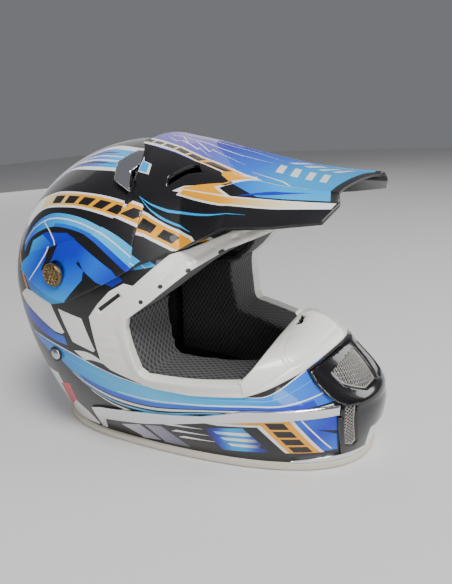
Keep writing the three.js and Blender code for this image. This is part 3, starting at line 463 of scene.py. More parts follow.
def weave(parts, pitch, depth, gap_colour, thread_colour):
    """Crossing threads: diamonds over the piece, with dark gaps between them."""
    mat, nodes, links, shader = parts
    where = nodes.new("ShaderNodeTexCoord")
    geometry = nodes.new("ShaderNodeNewGeometry")
    def maths(kind, a, b=None):
        node = nodes.new("ShaderNodeMath")
        node.operation = kind
        for i, value in enumerate((a, b)):
            if value is None:
                continue
            if isinstance(value, (int, float)):
                node.inputs[i].default_value = value
            else:
                links.new(value, node.inputs[i])
        return node.outputs[0]
    def blend(a, b, share):
        return maths("ADD", maths("MULTIPLY", a, share), maths("MULTIPLY", b, maths("SUBTRACT", 1.0, share)))
    split = nodes.new("ShaderNodeSeparateXYZ")
    links.new(where.outputs["Object"], split.inputs[0])
    x, y, z = split.outputs
    normal = nodes.new("ShaderNodeSeparateXYZ")
    links.new(geometry.outputs["True Normal"], normal.inputs[0])
    facing = maths("GREATER_THAN", maths("ABSOLUTE", normal.outputs[0]), 0.55)
    level = blend(y, x, facing)
    upright = maths("GREATER_THAN", maths("ABSOLUTE", normal.outputs[2]), 0.8)
    tall = blend(y, z, upright)
    k = 2 * math.pi / (pitch * MM)
    p = maths("ADD", level, maths("MULTIPLY", tall, 0.7))
    q = maths("SUBTRACT", level, maths("MULTIPLY", tall, 0.7))
    wave = maths("MULTIPLY", *(maths("SINE", maths("MULTIPLY", s, k / 2)) for s in (p, q)))
    height = maths("POWER", maths("ABSOLUTE", wave), 0.6)
    mix = nodes.new("ShaderNodeMix")
    mix.data_type = "RGBA"
    mix.inputs["A"].default_value = (*thread_colour, 1)
    mix.inputs["B"].default_value = (*gap_colour, 1)
    links.new(height, mix.inputs["Factor"])
    links.new(mix.outputs["Result"], shader.inputs["Base Color"])
    lift = nodes.new("ShaderNodeBump")
    lift.invert = True
    lift.inputs["Strength"].default_value = 0.9
    lift.inputs["Distance"].default_value = depth * MM
    links.new(height, lift.inputs["Height"])
    links.new(lift.outputs["Normal"], shader.inputs["Normal"])
    return mat


PAINT = grain(material("gloss_paint", roughness=0.45, coat=0.5, painted=True), 900, 0.05, 0.06)
WHITE_FRAME = grain(material("white_frame", roughness=0.36, coat=0.35, painted=True), 500, 0.12, 0.08)
BLACK_GLOSS = grain(material("black_gloss", BLACK, 0.2, coat=0.8), 700, 0.06, 0.06)
BLACK_MATT = grain(material("black_matt", (0.012, 0.012, 0.014), 0.55), 900, 0.35, 0.1)
CHROME = grain(material("chrome", (0.86, 0.87, 0.9), 0.1, metallic=1.0), 160, 0.05, 0.06)
STEEL = grain(material("steel", (0.62, 0.62, 0.62), 0.28, metallic=1.0), 420, 0.15, 0.1)
WIRE = grain(material("woven_wire", (0.50, 0.48, 0.45), 0.5, metallic=1.0), 900, 0.2, 0.1)
BRASS = grain(material("brass", (0.34, 0.25, 0.12), 0.36, metallic=1.0), 700, 0.3, 0.12,
              colour=(0.20, 0.14, 0.07))
RUBBER = grain(material("cream_rubber", (0.62, 0.57, 0.48), 0.55), 600, 0.3, 0.1, colour=(0.52, 0.47, 0.39))
FOAM = grain(material("bead_foam", (0.03, 0.03, 0.033), 0.8), 260, 0.6, 0.1, distance=0.0006,
             colour=(0.012, 0.012, 0.013))
KNIT = weave(material("diamond_knit", (0.02, 0.02, 0.022), 0.75, sheen=0.15), 5.2, 0.7,
             (0.001, 0.001, 0.001), (0.085, 0.085, 0.09))
LINING = weave(material("fine_lining", (0.02, 0.02, 0.022), 0.85, sheen=0.25), 1.6, 0.2,
               (0.006, 0.006, 0.007), (0.022, 0.022, 0.024))
WEBBING = weave(material("webbing", (0.01, 0.01, 0.01), 0.7, sheen=0.2), 1.5, 0.25,
                (0.004, 0.004, 0.004), (0.02, 0.02, 0.021))
TAB = weave(material("red_tab", (0.4, 0.02, 0.02), 0.7, sheen=0.2), 1.3, 0.2,
            (0.16, 0.004, 0.008), (0.42, 0.015, 0.025))

# ---------------------------------------------------------------- outlines in side view, [y, z]
PORT = [[-230, 192], [-73, 192], [-61, 189], [-43, 177], [-19, 156], [-1, 142.5], [1, 133], [0, 120],
        [-4, 95], [-9, 89.5], [-47, 86], [-81, 85], [-103, 89.5], [-124, 98], [-139, 107.5], [-230, 109]]
FRAME_EDGE = [[-230, 206], [-72, 206], [-52, 198], [-40, 193.2], [-30, 191], [-7, 169], [0, 171], [11, 165],
              [22, 154], [31, 143], [30, 101], [23, 94], [-11, 79], [-42, 74], [-82.6, 73.4]]
HOUSING = [[-123.5, 89.6], [-132, 95], [-138, 99.2], [-143, 102.2], [-147, 103], [-230, 103], [-230, 40.4],
           [-167.4, 32.4], [-163.4, 13.6], [-149.8, 13.2], [-149.6, 52.4], [-151.2, 52.6], [-151.2, 63.2],
           [-148, 65], [-140, 70.4], [-130, 80]]
UPPER_MESH = [[-137.4, 85.5], [-145.5, 95], [-185, 95], [-185, 71], [-166, 69.6], [-163, 68.3], [-148, 76]]
LOWER_MESH = [[-152.6, 61], [-159.5, 60.5], [-159.5, 25], [-157, 21.5], [-152.6, 24]]
SIDE_STRIP = [[70, 38], [56, 42.5], [5, 48.5], [-47, 53.5], [-81, 61], [-150.6, 62.6], [-150.6, 54],
              [-80, 51], [-45, 45], [12, 32], [60, 24], [66, 9], [73, 9]]
FRONT_WING = [[-230, 39.6], [-168, 31.6], [-164, 13], [-143, 12.2], [-114, 9.4], [-114, 7.2], [-230, 7.2]]
SCOOP = [[10, 259.5], [25, 262.5], [30.5, 252.5], [26.5, 242], [9.5, 234], [15, 245.5]]
ARM = [[-5, 181], [10, 172.6], [28, 163], [48, 154.6], [57, 154], [66, 156], [77, 162], [92, 168], [104, 174],
       [101, 181], [87, 190.5], [64, 196.5], [37, 203.5], [28, 206.5], [13, 218], [4, 229], [-5, 231]]


def spread(points):
    """The points as rows of an array."""
    return np.array(points, float)


# ---------------------------------------------------------------- the paint scheme of the shell, [y, z]
ladder_top = spline([(128, 212), (115, 226), (98, 233), (75, 237), (36, 235), (5, 228), (-27, 215),
                    (-54, 198)])
ladder_low = spline([(120, 205), (109, 215), (97, 222), (79, 225), (51, 225), (20, 219), (-9, 208),
                    (-30, 196)])
crown_top = spline([(120, 236), (98, 254), (66, 268), (29, 266), (0, 262)])
crown_low = spline([(122, 228), (104, 243), (85, 253), (42, 253), (10, 249)])
cyan_top = spline([(116, 196), (101, 211), (80, 220), (51, 219), (26, 212), (4, 202), (-22, 183)])
cyan_low = spline([(112, 187), (103, 200), (79, 210), (55, 210), (32, 204), (13, 192), (-2, 180)])
belt_top = spline([(132, 128), (122, 115), (98, 112), (68, 105), (39, 93.5), (19, 86), (-8, 79), (-38, 74.5),
                   (-75, 73.5), (-100, 73), (-120, 86), (-131, 96)])
belt_low = spline([(110, 108), (95, 98), (82, 92), (68, 79), (37, 63), (-1, 57), (-47, 60), (-88, 62),
                  (-124, 62), (-150, 66)])
sky = fade((66, 206), (60, 152), ROYAL, ROYAL, AZURE, CYAN)
belt = fade((110, 100), (-130, 70), AZURE, CYAN, PALE, CYAN, AZURE)
crown_paint = fade((108, 245), (30, 260), ROYAL, PURPLE, ROYAL, AZURE, CYAN, CYAN)
band_paint = fade((110, 200), (-15, 190), AZURE, CYAN, PALE, CYAN)


RUNG_SLANT = -0.02      # share of the ladder's length that a cell leans by


def rungs(a, b, f0, f1, t0, t1, count, fill):
    """Cells of a ladder between two curves."""
    pitch = (t1 - t0) / count
    return [(strip(a, b, f0, f1, t0 + i * pitch, t0 + (i + fill) * pitch, RUNG_SLANT), BLACK)
            for i in range(count)]


def repeated(outline, move, count, paint):
    """Copies of an outline, each moved on from the one before."""
    return [(spread(outline) + i * spread(move), paint) for i in range(count)]


rear_out = spline([(134, 218), (152, 200), (165, 176), (172, 148), (173, 118), (169, 88), (163, 60),
                  (158, 30)])
rear_in = spline([(124, 206), (138, 188), (150, 164), (157, 136), (158, 108), (154, 82), (148, 58),
                 (142, 30)])
rear_paint = fade((130, 215), (150, 35), CYAN, AZURE, ROYAL, AZURE, CYAN, AZURE)
nape_edge = spline([(159, 214), (170, 184), (174, 154), (174, 124), (170.5, 92), (163, 66)])

shell_layers = [
    # crown
    (strip(crown_low, crown_top, -0.06, 1.1), WHITE),
    (strip(crown_low, crown_top, 0.10, 0.94), crown_paint),
    (line(between(crown_low, crown_top, 0.42), 1.1, 0.8), WHITE),
    (line(between(crown_low, crown_top, 0.62), 0.7, 0.9), WHITE),
    (line(between(crown_low, crown_top, 0.30)[8:44], 1.6, 1.0), BLACK),
    (line(between(crown_low, crown_top, 0.78)[14:40], 1.4, 1.0), BLACK),
    # rear of the helmet
    (strip(rear_out, rear_in, -0.08, 1.06), WHITE),
    (strip(rear_out, rear_in, 0.0, 1.0), rear_paint),
    (strip(rear_out, rear_in, 0.62, 1.0, 0.1, 0.8), fade((130, 200), (154, 70), ROYAL, PURPLE, ROYAL)),
    (line(between(rear_out, rear_in, 0.30), 1.4, 0.4), WHITE),
    (line(between(rear_out, rear_in, 0.46), 0.9, 0.7), PALE),
    (np.vstack([nape_edge, [(200, 66), (200, 214)]]),
     fade((170, 214), (176, 96), PURPLE, ROYAL, AZURE, CYAN)),
    (line(spline([(155, 214), (167, 184), (171.5, 154), (171.5, 124), (168, 92), (161, 66)]), 1.0, 0.3),
     YELLOW),
    # ladder band
    (strip(ladder_top, ladder_low, 0.0, 1.0), WHITE),
    (strip(ladder_top, ladder_low, 0.12, 0.86, 0.16, 1.0),
     fade((100, 228), (-30, 205), CREAM, YELLOW, YELLOW, YELLOW)),
    *rungs(ladder_top, ladder_low, 0.26, 0.74, 0.26, 0.985, 8, 0.72),
    # cyan band
    (strip(cyan_top, cyan_low, -0.04, 1.0), band_paint),
    (line(between(cyan_top, cyan_low, 0.34), 1.0, 0.5), WHITE),
    (strip(cyan_top, cyan_low, 0.72, 1.0, 0.35, 1.0), fade((50, 214), (0, 182), AZURE, ROYAL)),
    # field behind the side screw
    ([(103, 184), (99, 198), (82, 206), (57, 207), (41, 201), (27, 193), (38, 185), (31, 180), (32, 173),
     (40, 165), (47, 158), (52, 153), (70, 149), (96, 154), (108, 166)], sky),
    ([(41, 201), (27, 193), (8, 181), (1, 173), (9, 168), (20, 172), (31, 180), (38, 190)],
     fade((36, 196), (6, 172), ROYAL, AZURE, ROYAL)),
    ([(103, 184), (99, 198), (86, 204), (74, 199), (68, 196), (76, 182), (92, 163), (104, 162), (108, 168)],
     fade((100, 190), (74, 178), CYAN, AZURE, ROYAL)),
    # painted shadow: black crescent behind and above the side screw head
    ([(68, 194), (70, 185), (74, 178), (70, 176), (63, 186), (58, 198)], BLACK),
    (line(spline([(89, 214), (76, 206), (68, 196), (76, 182), (94, 163)]), 1.3, 0.5), WHITE),
    # orange edge behind it
    (strip(spline([(127, 186), (115, 169), (107, 157)]), spline([(122, 182), (111, 168), (104, 158)]), 0, 1),
     fade((124, 183), (105, 158), YELLOW, (0.8, 0.18, 0.01), YELLOW)),
    # white darts
    ([(122, 149), (107, 157), (96, 156), (72, 149), (63, 124), (67, 122), (75, 123), (99, 136), (113, 142)],
     WHITE),
    ([(64, 146), (40, 140), (34, 111), (36, 109), (56, 116)], WHITE),
    (np.vstack([spline([(58, 107), (46, 108), (36, 105), (26, 97)]), spline([(33, 99), (41, 100),
     (49, 99)])]), WHITE),
    ([(65, 120), (75, 121), (99, 134), (113, 140), (124, 140), (116, 128), (96, 119), (78, 113), (64, 111)],
     fade((66, 112), (120, 138), AZURE, ROYAL, ROYAL)),
    # belt
    (strip(belt_top, belt_low, -0.04, 0.0), WHITE),
    (strip(belt_top, belt_low, 0.0, 1.0), belt),
    (strip(belt_top, belt_low, 0.80, 1.0, 0.22, 0.95), fade((80, 92), (-120, 62), ROYAL, AZURE, ROYAL)),
    (line(between(belt_top, belt_low, 0.72)[22:], 1.3, 0.4), WHITE),
    (line(between(belt_top, belt_low, 0.30), 0.8, 0.8), PALE),
    (strip(belt_top, belt_low, 1.06, 1.16, 0.16, 0.98), WHITE),
    (strip(belt_top, belt_low, 1.24, 1.30, 0.18, 0.75), PALE),
    (strip(belt_top, belt_low, 1.40, 1.47, 0.20, 0.62), WHITE),
    # rear quarter
    ([(100, 71), (100, 43), (84, 25), (78, 8), (132, 6), (126, 30), (121, 70)], WHITE),
    ([(106, 56), (87, 62), (93, 38), (117, 19)], RED),
    ([(103, 53), (91, 57), (96, 41), (111, 28)], fade((90, 58), (110, 28), RED, (0.35, 0.005, 0.02))),
    ([(128, 70), (134, 36), (140, 8), (150, 8), (150, 36), (142, 72)], fade((130, 70), (145, 8), ROYAL,
     PURPLE)),
    # under the chrome strip
    ([(44, 21), (20, 28), (4, 10), (24, 8)], fade((40, 20), (8, 12), (0.5, 0.5, 0.56), (0.26, 0.25, 0.34))),
    ([(14, 29), (-4, 32), (-26, 9), (0, 9)], fade((10, 26), (-22, 12), (0.30, 0.29, 0.38),
     (0.10, 0.10, 0.16))),
    *repeated([(-8, 35), (-47, 37), (-14, 38)], (-5, -7), 3, WHITE),
    ([(-44, 39), (-80, 43), (-100, 17), (-58, 14)], fade((-48, 28), (-98, 28), BLACK, ROYAL, CYAN, CYAN,
     ROYAL, BLACK)),
    *repeated([(-54, 36.5), (-84, 37.5), (-86, 34), (-57, 33.5)], (-5, -6.5), 3,
              fade((-54, 30), (-92, 30), CYAN, WHITE, WHITE, BLACK)),
    ([(-42, 45.5), (-84, 50.5), (-120, 52), (-140, 17), (-111, 17), (-92, 45), (-60, 43.5)], WHITE),
    ([(-62, 46.5), (-88, 49.5), (-117, 51.5), (-137, 17), (-114, 17), (-95, 47)], YELLOW),
    *repeated([(-98, 49.5), (-112.5, 49.5), (-116.5, 43), (-102, 43)], (-5.2, -8.4), 4, BLACK),
    ([(-120, 53), (-150, 53), (-149, 18), (-140, 18)], fade((-122, 50), (-148, 22), AZURE, ROYAL, AZURE)),
    (line(spread([(-125, 53), (-135, 37), (-145, 20)]), 1.2), WHITE),
    ([(-136, 42), (-150, 39), (-150, 35)], BLACK),
]

# ---------------------------------------------------------------- shell
SHELL_WALL, SHELL_START = 3.5, 3.3
TOP_ROW = WIDEST_Z + V_DOME - 0.5       # short of the crown, which leaves a hole of about 0.8 mm there
port_hole = inner_ring(to_shell(PORT), -3.0)
port_hole[:, 0] = np.maximum(port_hole[:, 0], -U_SPAN)
on_seam = port_hole[:, 0] < -U_SPAN + 0.02
cut = port_hole[~on_seam]
top_end, low_end = port_hole[on_seam][:, 1].max(), port_hole[on_seam][:, 1].min()
if cut[0][1] < cut[-1][1]:
    cut = cut[::-1]
corners = [(-U_SPAN, SHELL_START), (U_SPAN, SHELL_START), (U_SPAN, TOP_ROW), (-U_SPAN, TOP_ROW), (-U_SPAN,
           top_end)]
chin_line = densify([(-U_SPAN, low_end), (-U_SPAN, SHELL_START)], 3.0, closed=False)[:-1]
outer = np.vstack([densify(corners, 3.0, closed=False), cut, chin_line])


def shell_seam(points):
    return middle_seam(points) | (points[:, 1] > TOP_ROW - 0.1)


patch("shell", shell_surface, outer, [], PAINT, "helmet", "outer_shell", "shell_paint", step=3.3,
      bottom=-SHELL_WALL, edge=0.8, layers=shell_layers, seam=shell_seam, angle=60)

# ---------------------------------------------------------------- white frame round the eye port
port_back = spread([[-82.6, 85.35], *PORT[11::-1]])      # from the guard's end up and round to the brow
frame_outer = to_shell([*FRAME_EDGE, *port_back.tolist()], 1.5)
_, keep = np.unique(np.round(frame_outer, 2), axis=0, return_index=True)
frame_outer = frame_outer[np.sort(keep)]
port_curve = densify(port_back, 2.0, closed=False)
ridge = spread([(-70, 199), (-52, 191), (-36, 182), (-8, 161), (9, 147), (11, 133), (8, 112), (3, 93),
               (-11, 84)])


def frame_relief(p):
    near_port = 1 - smooth(3.0, 7.5, distance_to(port_curve, p))
    groove = 1 - smooth(0.3, 1.3, distance_to(ridge, p))
    ribs = np.where((p[:, 0] > 13) & (p[:, 0] < 27) & (p[:, 1] > 104) & (p[:, 1] < 140),
                    np.clip(1.4 - np.abs((p[:, 1] % 9) - 4.5), 0, 1), 0)
    slot = inside(spread([(4.5, 164.5), (1.5, 161), (20, 147), (23, 151)]), p) * 1.0
    return 1.4 * near_port - 0.8 * groove - 0.9 * ribs - 1.5 * slot


def frame_depth(p):
    return np.where(distance_to(port_curve, p) < 2.5, -8.0, 0.3)


patch("port_frame", shell_surface, frame_outer, [], WHITE_FRAME, "helmet", "eye_port_frame", "frame_plastic",
      step=2.2, top=2.1, edge=0.7, relief=frame_relief, deep=frame_depth, base=FRAME_WHITE,
      # painted shade: the recessed slot in the frame is painted black for its shaded inside
      layers=[([(4, 163.6), (2.2, 161.2), (20, 148), (22, 150.6)], BLACK),
              # painted shade: dark circles for the shaded insides of the small holes round the port
              *[(circle(*place, 1.6), HOLE_SHADE) for place in ((-26, 168), (-13, 157), (-42, 178), (-58, 188))]])

# ---------------------------------------------------------------- chin vent housing and its grilles


def clear_of_middle(domain, x_min, lift):
    """Domain points kept where the surface is at least x_min from the middle plane."""
    z = height_of(domain[:, 1])
    low, high = -np.ones(len(domain)), np.zeros(len(domain))
    for _ in range(30):
        mid = (low + high) / 2
        near = level_point(mid, z, lift)[0] < x_min
        low, high = np.where(near, mid, low), np.where(near, high, mid)
    out = domain.copy()
    out[:, 0] = np.maximum(out[:, 0], high * U_SPAN)
    return out


def tidy_loop(loop, tolerance=0.3):
    kept = [loop[0]]
    for p in loop[1:]:
        if np.linalg.norm(p - kept[-1]) > tolerance:
            kept.append(p)
    while np.linalg.norm(kept[0] - kept[-1]) < tolerance:
        kept.pop()
    return np.array(kept)


housing_outer = tidy_loop(to_shell(HOUSING, 1.5))
seam_side = housing_outer[:, 0] < -U_SPAN + 0.05
housing_outer[seam_side, 0] = -U_SPAN
upper_window = tidy_loop(clear_of_middle(to_shell(UPPER_MESH, 1.0), 3.2, -4.5))
lower_window = tidy_loop(to_shell(LOWER_MESH, 1.0))
crease = spline([(-124, 86), (-136, 76), (-148, 67), (-160, 63), (-176, 62)])


def housing_relief(p):
    return 1.2 * (1 - smooth(0.5, 7.0, distance_to(crease, p))) - 0.6 * smooth(0, 1, (45 - p[:, 1]) / 30)


patch("chin_housing", shell_surface, housing_outer, [upper_window, lower_window], BLACK_GLOSS, "helmet",
      "chin_vent_housing", "housing_plastic", step=1.3, top=4.5, bottom=0.3, edge=1.1, relief=housing_relief,
      angle=60)


def tube(path, radius, sides=6):
    """Points and faces of a wire along a path."""
    path = np.array(path)
    tangent = np.gradient(path, axis=0)
    tangent /= np.linalg.norm(tangent, axis=1)[:, None] + 1e-9
    helper = np.array([0.31, 0.17, 0.93])
    a = np.cross(tangent, helper)
    a /= np.linalg.norm(a, axis=1)[:, None] + 1e-9
    b = np.cross(tangent, a)
    angles = np.linspace(0, 2 * math.pi, sides, endpoint=False)
    points = (path[:, None] + radius * (np.cos(angles)[None, :, None] * a[:, None]
                                        + np.sin(angles)[None, :, None] * b[:, None])).reshape(-1, 3)
    faces = []
    for i in range(len(path) - 1):
        for k in range(sides):
            j = (k + 1) % sides
            faces.append((i * sides + k, i * sides + j, (i + 1) * sides + j, (i + 1) * sides + k))
    faces.append(tuple(range(sides))[::-1])
    faces.append(tuple((len(path) - 1) * sides + k for k in range(sides)))
    return points, faces


def join(parts):
    points, faces, start = [], [], 0
    for p, f in parts:
        points.append(p)
        faces.extend([tuple(i + start for i in face) for face in f])
        start += len(p)
    return np.vstack(points), faces


def grille(name, window, node, lift, pitch=2.1, radius=0.27):
    """Woven wires that fill a window, right and left."""
    window = inner_ring(window, 0.5)
    wires = []
    low, high = window.min(0), window.max(0)
    reach = np.linalg.norm(high - low)
    middle = (low + high) / 2
    for turn in (math.radians(48), math.radians(-42)):
        along = np.array([math.cos(turn), math.sin(turn)])
        across = np.array([-math.sin(turn), math.cos(turn)])
        for i in range(int(-reach / pitch / 2), int(reach / pitch / 2) + 1):
            t = np.arange(-reach / 2, reach / 2, pitch / 4)
            p = middle + across * i * pitch + t[:, None] * along
            ok = inside(window, p)
            wave = np.cos(math.pi * (t / pitch + i)) * (1 if turn > 0 else -1)
            runs = np.split(np.arange(len(t)), np.where(np.diff(ok.astype(int)) != 0)[0] + 1)
            for run in runs:
                if ok[run[0]] and len(run) > 3:
                    wires.append(tube(shell_surface(p[run], lift + 0.3 * wave[run]), radius))
    loop = shell_surface(np.vstack([window, window[:1]]), lift)
    wires.append(tube(loop, 0.6))
    points, faces = join(wires)
    turned = [face[::-1] for face in faces]
    for side, verts, rounds in (("_right", points, faces), ("_left", points * (-1, 1, 1), turned)):
        make_object(name + side, verts, rounds, None, WIRE, "helmet", node + side, "grille_steel", 60)


for row, window in (("upper", upper_window), ("lower", lower_window)):
    grille(row + "_grille", window, row + "_vent_mesh", 2.0)

# ---------------------------------------------------------------- trims on the shell


def left_surface(points, lift):
    return shell_surface(points, lift) * (-1, 1, 1)


def pair(name, node, outline, mat, slot, body="helmet", holes=(), **facts):
    """The same plate on the right and on the left. Both stand for the one node where it has no sides."""
    loop = tidy_loop(to_shell(outline, 1.5))
    for side, surface, flip in (("_right", shell_surface, False), ("_left", left_surface, True)):
        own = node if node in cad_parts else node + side
        patch(name + side, surface, loop, holes, mat, body, own, slot, mirror=False, flip=flip, seam=no_seam,
              **facts)


for name, outline in (("side_strip", SIDE_STRIP), ("front_wing", FRONT_WING)):
    pair(name, name, outline, CHROME, "chrome_trim", top=2.1, bottom=0.3, edge=0.8, step=2.5)
scoop_ridge = spread([(14, 245.5), (31, 252.5)])
pair("scoop", "peak_scoop", SCOOP, CHROME, "chrome_trim", "peak", top=5.6, bottom=2.5, edge=0.8, step=1.6,
     relief=lambda p: 3.4 * (1 - np.clip(distance_to(scoop_ridge, p) / 12, 0, 1)), angle=12)
trim_loop = densify([(-U_SPAN, 0), (U_SPAN, 0), (U_SPAN, 6.8), (-U_SPAN, 6.8)], 2.0)
patch("edge_trim", shell_surface, trim_loop, [], RUBBER, "helmet", "base_trim", "edge_rubber", step=2.0,
      top=2.6, bottom=-6.2, edge=1.6)

# ---------------------------------------------------------------- mouth guard


def along_curve(points, s):
    """Smooth curve through the points at the places s, from 0 to 1."""
    p = np.array(points, float)
    p = np.vstack([2 * p[0] - p[1], p, 2 * p[-1] - p[-2]])
    spans = len(p) - 3
    t = np.clip(s, 0, 1) * spans
    i = np.minimum(t.astype(int), spans - 1)
    f = (t - i)[:, None]
    a, b, c, d = p[i], p[i + 1], p[i + 2], p[i + 3]
    return 0.5 * (2 * b + (c - a) * f + (2 * a - 5 * b + 4 * c - d) * f ** 2
                  + (3 * b - a - 3 * c + d) * f ** 3)


GUARD_EDGE = [[0, -101.5, 121], [16, -98.5, 117.6], [38, -95, 111], [60, -91, 102.5], [76, -88, 95.5],
              [86.5, -83.4, 87]]
GUARD_RIM = [[-145, 104], [-142, 102.8], [-137.5, 99.8], [-131.5, 95.6], [-123, 90], [-107, 82], [-95, 77],
             [-83.4, 73.4]]
rim_yz = spread(GUARD_RIM)
rim_along = along_of(rim_yz[:, 0], rim_yz[:, 1], -2.9)
rim_x, rim_y = level_point(rim_along, rim_yz[:, 1], -2.9)
GUARD_RIM_POINTS = np.stack([rim_x, np.maximum(rim_y, rim_yz[:, 0]), rim_yz[:, 1]], 1)
GUARD_RIM_POINTS[0, 0] = 0
GUARD_SPAN = np.array([140.0, 46.0])


def guard_skin(points):
    s, t = np.clip(points[:, 0] / GUARD_SPAN[0], 0, 1), np.clip(points[:, 1] / GUARD_SPAN[1], 0, 1)[:, None]
    edge, rim = along_curve(GUARD_EDGE, s), along_curve(GUARD_RIM_POINTS, s)
    third = (rim - edge) / 3
    weight = (1 - s)[:, None]
    first = edge + np.array([0, -5, 6]) * weight + third * s[:, None]
    second = rim + np.array([0, 8, 17]) * weight - third * s[:, None]
    skin = cubic(t, edge, first, second, rim)
    return skin * (-1, 1, 1)


def normal_of(skin, points):
    """Unit normal of a skin at its domain points."""
    h = 0.4
    du = skin(points + (h, 0)) - skin(points - (h, 0))
    dv = skin(points + (0, h)) - skin(points - (0, h))
    normal = np.cross(du, dv)
    normal /= np.linalg.norm(normal, axis=1)[:, None] + 1e-9
    return normal


def guard_surface(points, lift):
    base = guard_skin(points)
    normal = normal_of(guard_skin, np.clip(points, (0.5, 0.5), GUARD_SPAN - 0.5))
    outward = base - np.array([0, -60, 90])
    normal *= np.where((normal * outward).sum(1) > 0, 1, -1)[:, None]
    at_middle = points[:, 0] < 0.05
    normal[at_middle, 0] = 0
    return base + normal * np.reshape(lift, (-1, 1) if np.ndim(lift) else (1, 1))


guard_loop = densify([(0, 0), (GUARD_SPAN[0], 0), tuple(GUARD_SPAN), (0, GUARD_SPAN[1])], 1.6)
# marks on the guard, in domain units along its rim and across it
guard_seam = spread([(-1, 36), (50, 36), (100, 37.5), (141, 40)])
block_edge = spline([(84, 36), (80, 24), (70, 15), (52, 11)])
GUARD_SLOT = [(15, 7.5), (36, 10.0), (34, 13.5), (18, 12.5)]


def guard_relief(p):
    slot = inside(spread(GUARD_SLOT), p) * 1.0
    return -0.9 * (1 - smooth(0.4, 1.4, distance_to(guard_seam, p))) - 2.0 * slot \
        - 0.7 * (1 - smooth(0.3, 1.3, distance_to(block_edge, p)))


patch("mouth_guard", guard_surface, guard_loop, [], WHITE_FRAME, "helmet", "mouth_guard", "frame_plastic",
      step=1.7, top=0.0, bottom=-3.2, edge=1.2, base=FRAME_WHITE, place=lambda p: p, relief=guard_relief,
      # painted shade: the recessed slot in the guard is painted black for its shaded inside
      layers=[(GUARD_SLOT, BLACK)],
      seam=lambda p: p[:, 0] < 0.05, flip=True, to_domain=lambda p: densify(p, 1.0), angle=60)

# ---------------------------------------------------------------- peak
STATIONS = spread([
    # y, lower x z, crease x z, edge x z, middle z
    [-151, 90.5, 221.6, 70, 230.4, 59.7, 236.3, 238.8],
    [-117, 94.5, 217, 77, 232, 61, 240, 243.5],
    [-80, 98, 214.5, 80, 234, 60.5, 247, 252],
    [-37, 90, 194.5, 79, 238, 54, 258.5, 264],
    [-13, 110, 185.5, 85, 236, 48, 266, 271],
    [9, 121, 173, 89, 235, 44, 271, 276],
])
PEAK_SPAN = np.array([38.0, 30.0])      # domain units per station along and per face across


def peak_skin(points):
    """Peak over k, 0 to 6 from the tip back, and c, 0 to 3 from the lower edge up to the middle.

    Behind the last station, where k is over 5, the lowest face folds onto one line.
    """
    k, c = np.clip(points[:, 0] / PEAK_SPAN[0], 0, 6), np.clip(points[:, 1] / PEAK_SPAN[1], 0, 3)
    row = np.stack([np.interp(k, np.arange(6), STATIONS[:, j]) for j in range(8)], 1)
    over = np.clip(k - 5, 0, 1)
    edge_x, edge_z = row[:, 5] * (1 - over) + 43 * over, row[:, 6] * (1 - over) + 273.5 * over
    middle = row[:, 7] * (1 - over) + 279.5 * over
    wing, flank, panel = np.clip(c, 0, 1), np.clip(c - 1, 0, 1), np.clip(c - 2, 0, 1)
    x = np.where(c <= 1, row[:, 1] * (1 - wing) + row[:, 3] * wing, row[:, 3] * (1 - flank) + edge_x * flank)
    z = np.where(c <= 1, row[:, 2] * (1 - wing) + row[:, 4] * wing, row[:, 4] * (1 - flank) + edge_z * flank)
    y = row[:, 0]
    hugging = (z < HEIGHT - 2) & (y > -45)
    on_shell = level_point(along_of(y, np.minimum(z, HEIGHT - 1)), np.minimum(z, HEIGHT - 1), 0.0)[0] + 5.8
    x = np.where(hugging, np.maximum(x, on_shell), x)
    z = np.where(c > 1, z + 3 * np.sin(math.pi * flank), z)
    x = np.where(c > 2, edge_x * (1 - panel), x)
    z = np.where(c > 2, edge_z + (middle - edge_z) * (1 - (1 - panel) ** 2), z)
    place = np.where(c <= 1, 4 * c, np.where(c <= 2, 4 + 3 * (c - 1), 7 + 3 * (c - 2)))
    near = np.maximum(0, 1 - np.abs(place - 4) / 4)
    y = y - 6 * np.maximum(0, 1 - k / 0.5) * near + over * 14 * np.where(c <= 1, 0, flank) ** 3
    return np.stack([-x, y, z], 1)


def peak_surface(points, lift):
    base = peak_skin(points)
    high = np.array([6, 3]) * PEAK_SPAN - 0.5
    normal = normal_of(peak_skin, np.clip(points, (0.5, 0.5), high))
    outward = base - np.array([0, -40, 190])
    normal *= np.where((normal * outward).sum(1) > 0, 1, -1)[:, None]
    normal[points[:, 1] > 3 * PEAK_SPAN[1] - 0.05, 0] = 0
    return base + normal * np.reshape(lift, (-1, 1) if np.ndim(lift) else (1, 1))


def in_peak(points):
    return densify(points, 0.06) * PEAK_SPAN


def peak_place(points):
    return points / PEAK_SPAN


panel_paint = fade((0.1, 2.5), (6, 2.4), CYAN, CYAN, AZURE, ROYAL, PURPLE, PURPLE, (0.10, 0.05, 0.48))
stripe_low = spread([(6.0, 1.96), (4.6, 1.96), (3.4, 1.94), (2.8, 1.90), (2.2, 1.74)])
stripe_top = spread([(6.0, 2.26), (4.6, 2.24), (3.4, 2.18), (2.6, 2.14), (1.8, 2.04)])
under_low = spread([(3.2, 0.94), (2.2, 0.74), (1.2, 0.66), (0.04, 0.64)])
under_top = spread([(3.0, 1.04), (2.2, 1.03), (1.2, 1.01), (0.04, 0.96)])
wing_top = spread([(5.08, 0.92), (4.5, 0.84), (4.0, 0.72), (3.5, 0.53), (3.0, 0.33), (2.7, 0.14),
                  (2.62, 0.03)])
wing_low = spread([(5.08, 0.64), (4.5, 0.53), (4.0, 0.40), (3.6, 0.24), (3.3, 0.10), (3.15, 0.02),
                  (3.05, 0.0)])
sash_top = spread([(5.08, 0.52), (4.6, 0.36), (4.2, 0.18), (3.95, 0.05)])
sash_low = spread([(5.08, 0.20), (4.85, 0.12), (4.6, 0.05), (4.5, 0.0)])


def bolt(points, width):
    return line(spread(points), width, 0.9)


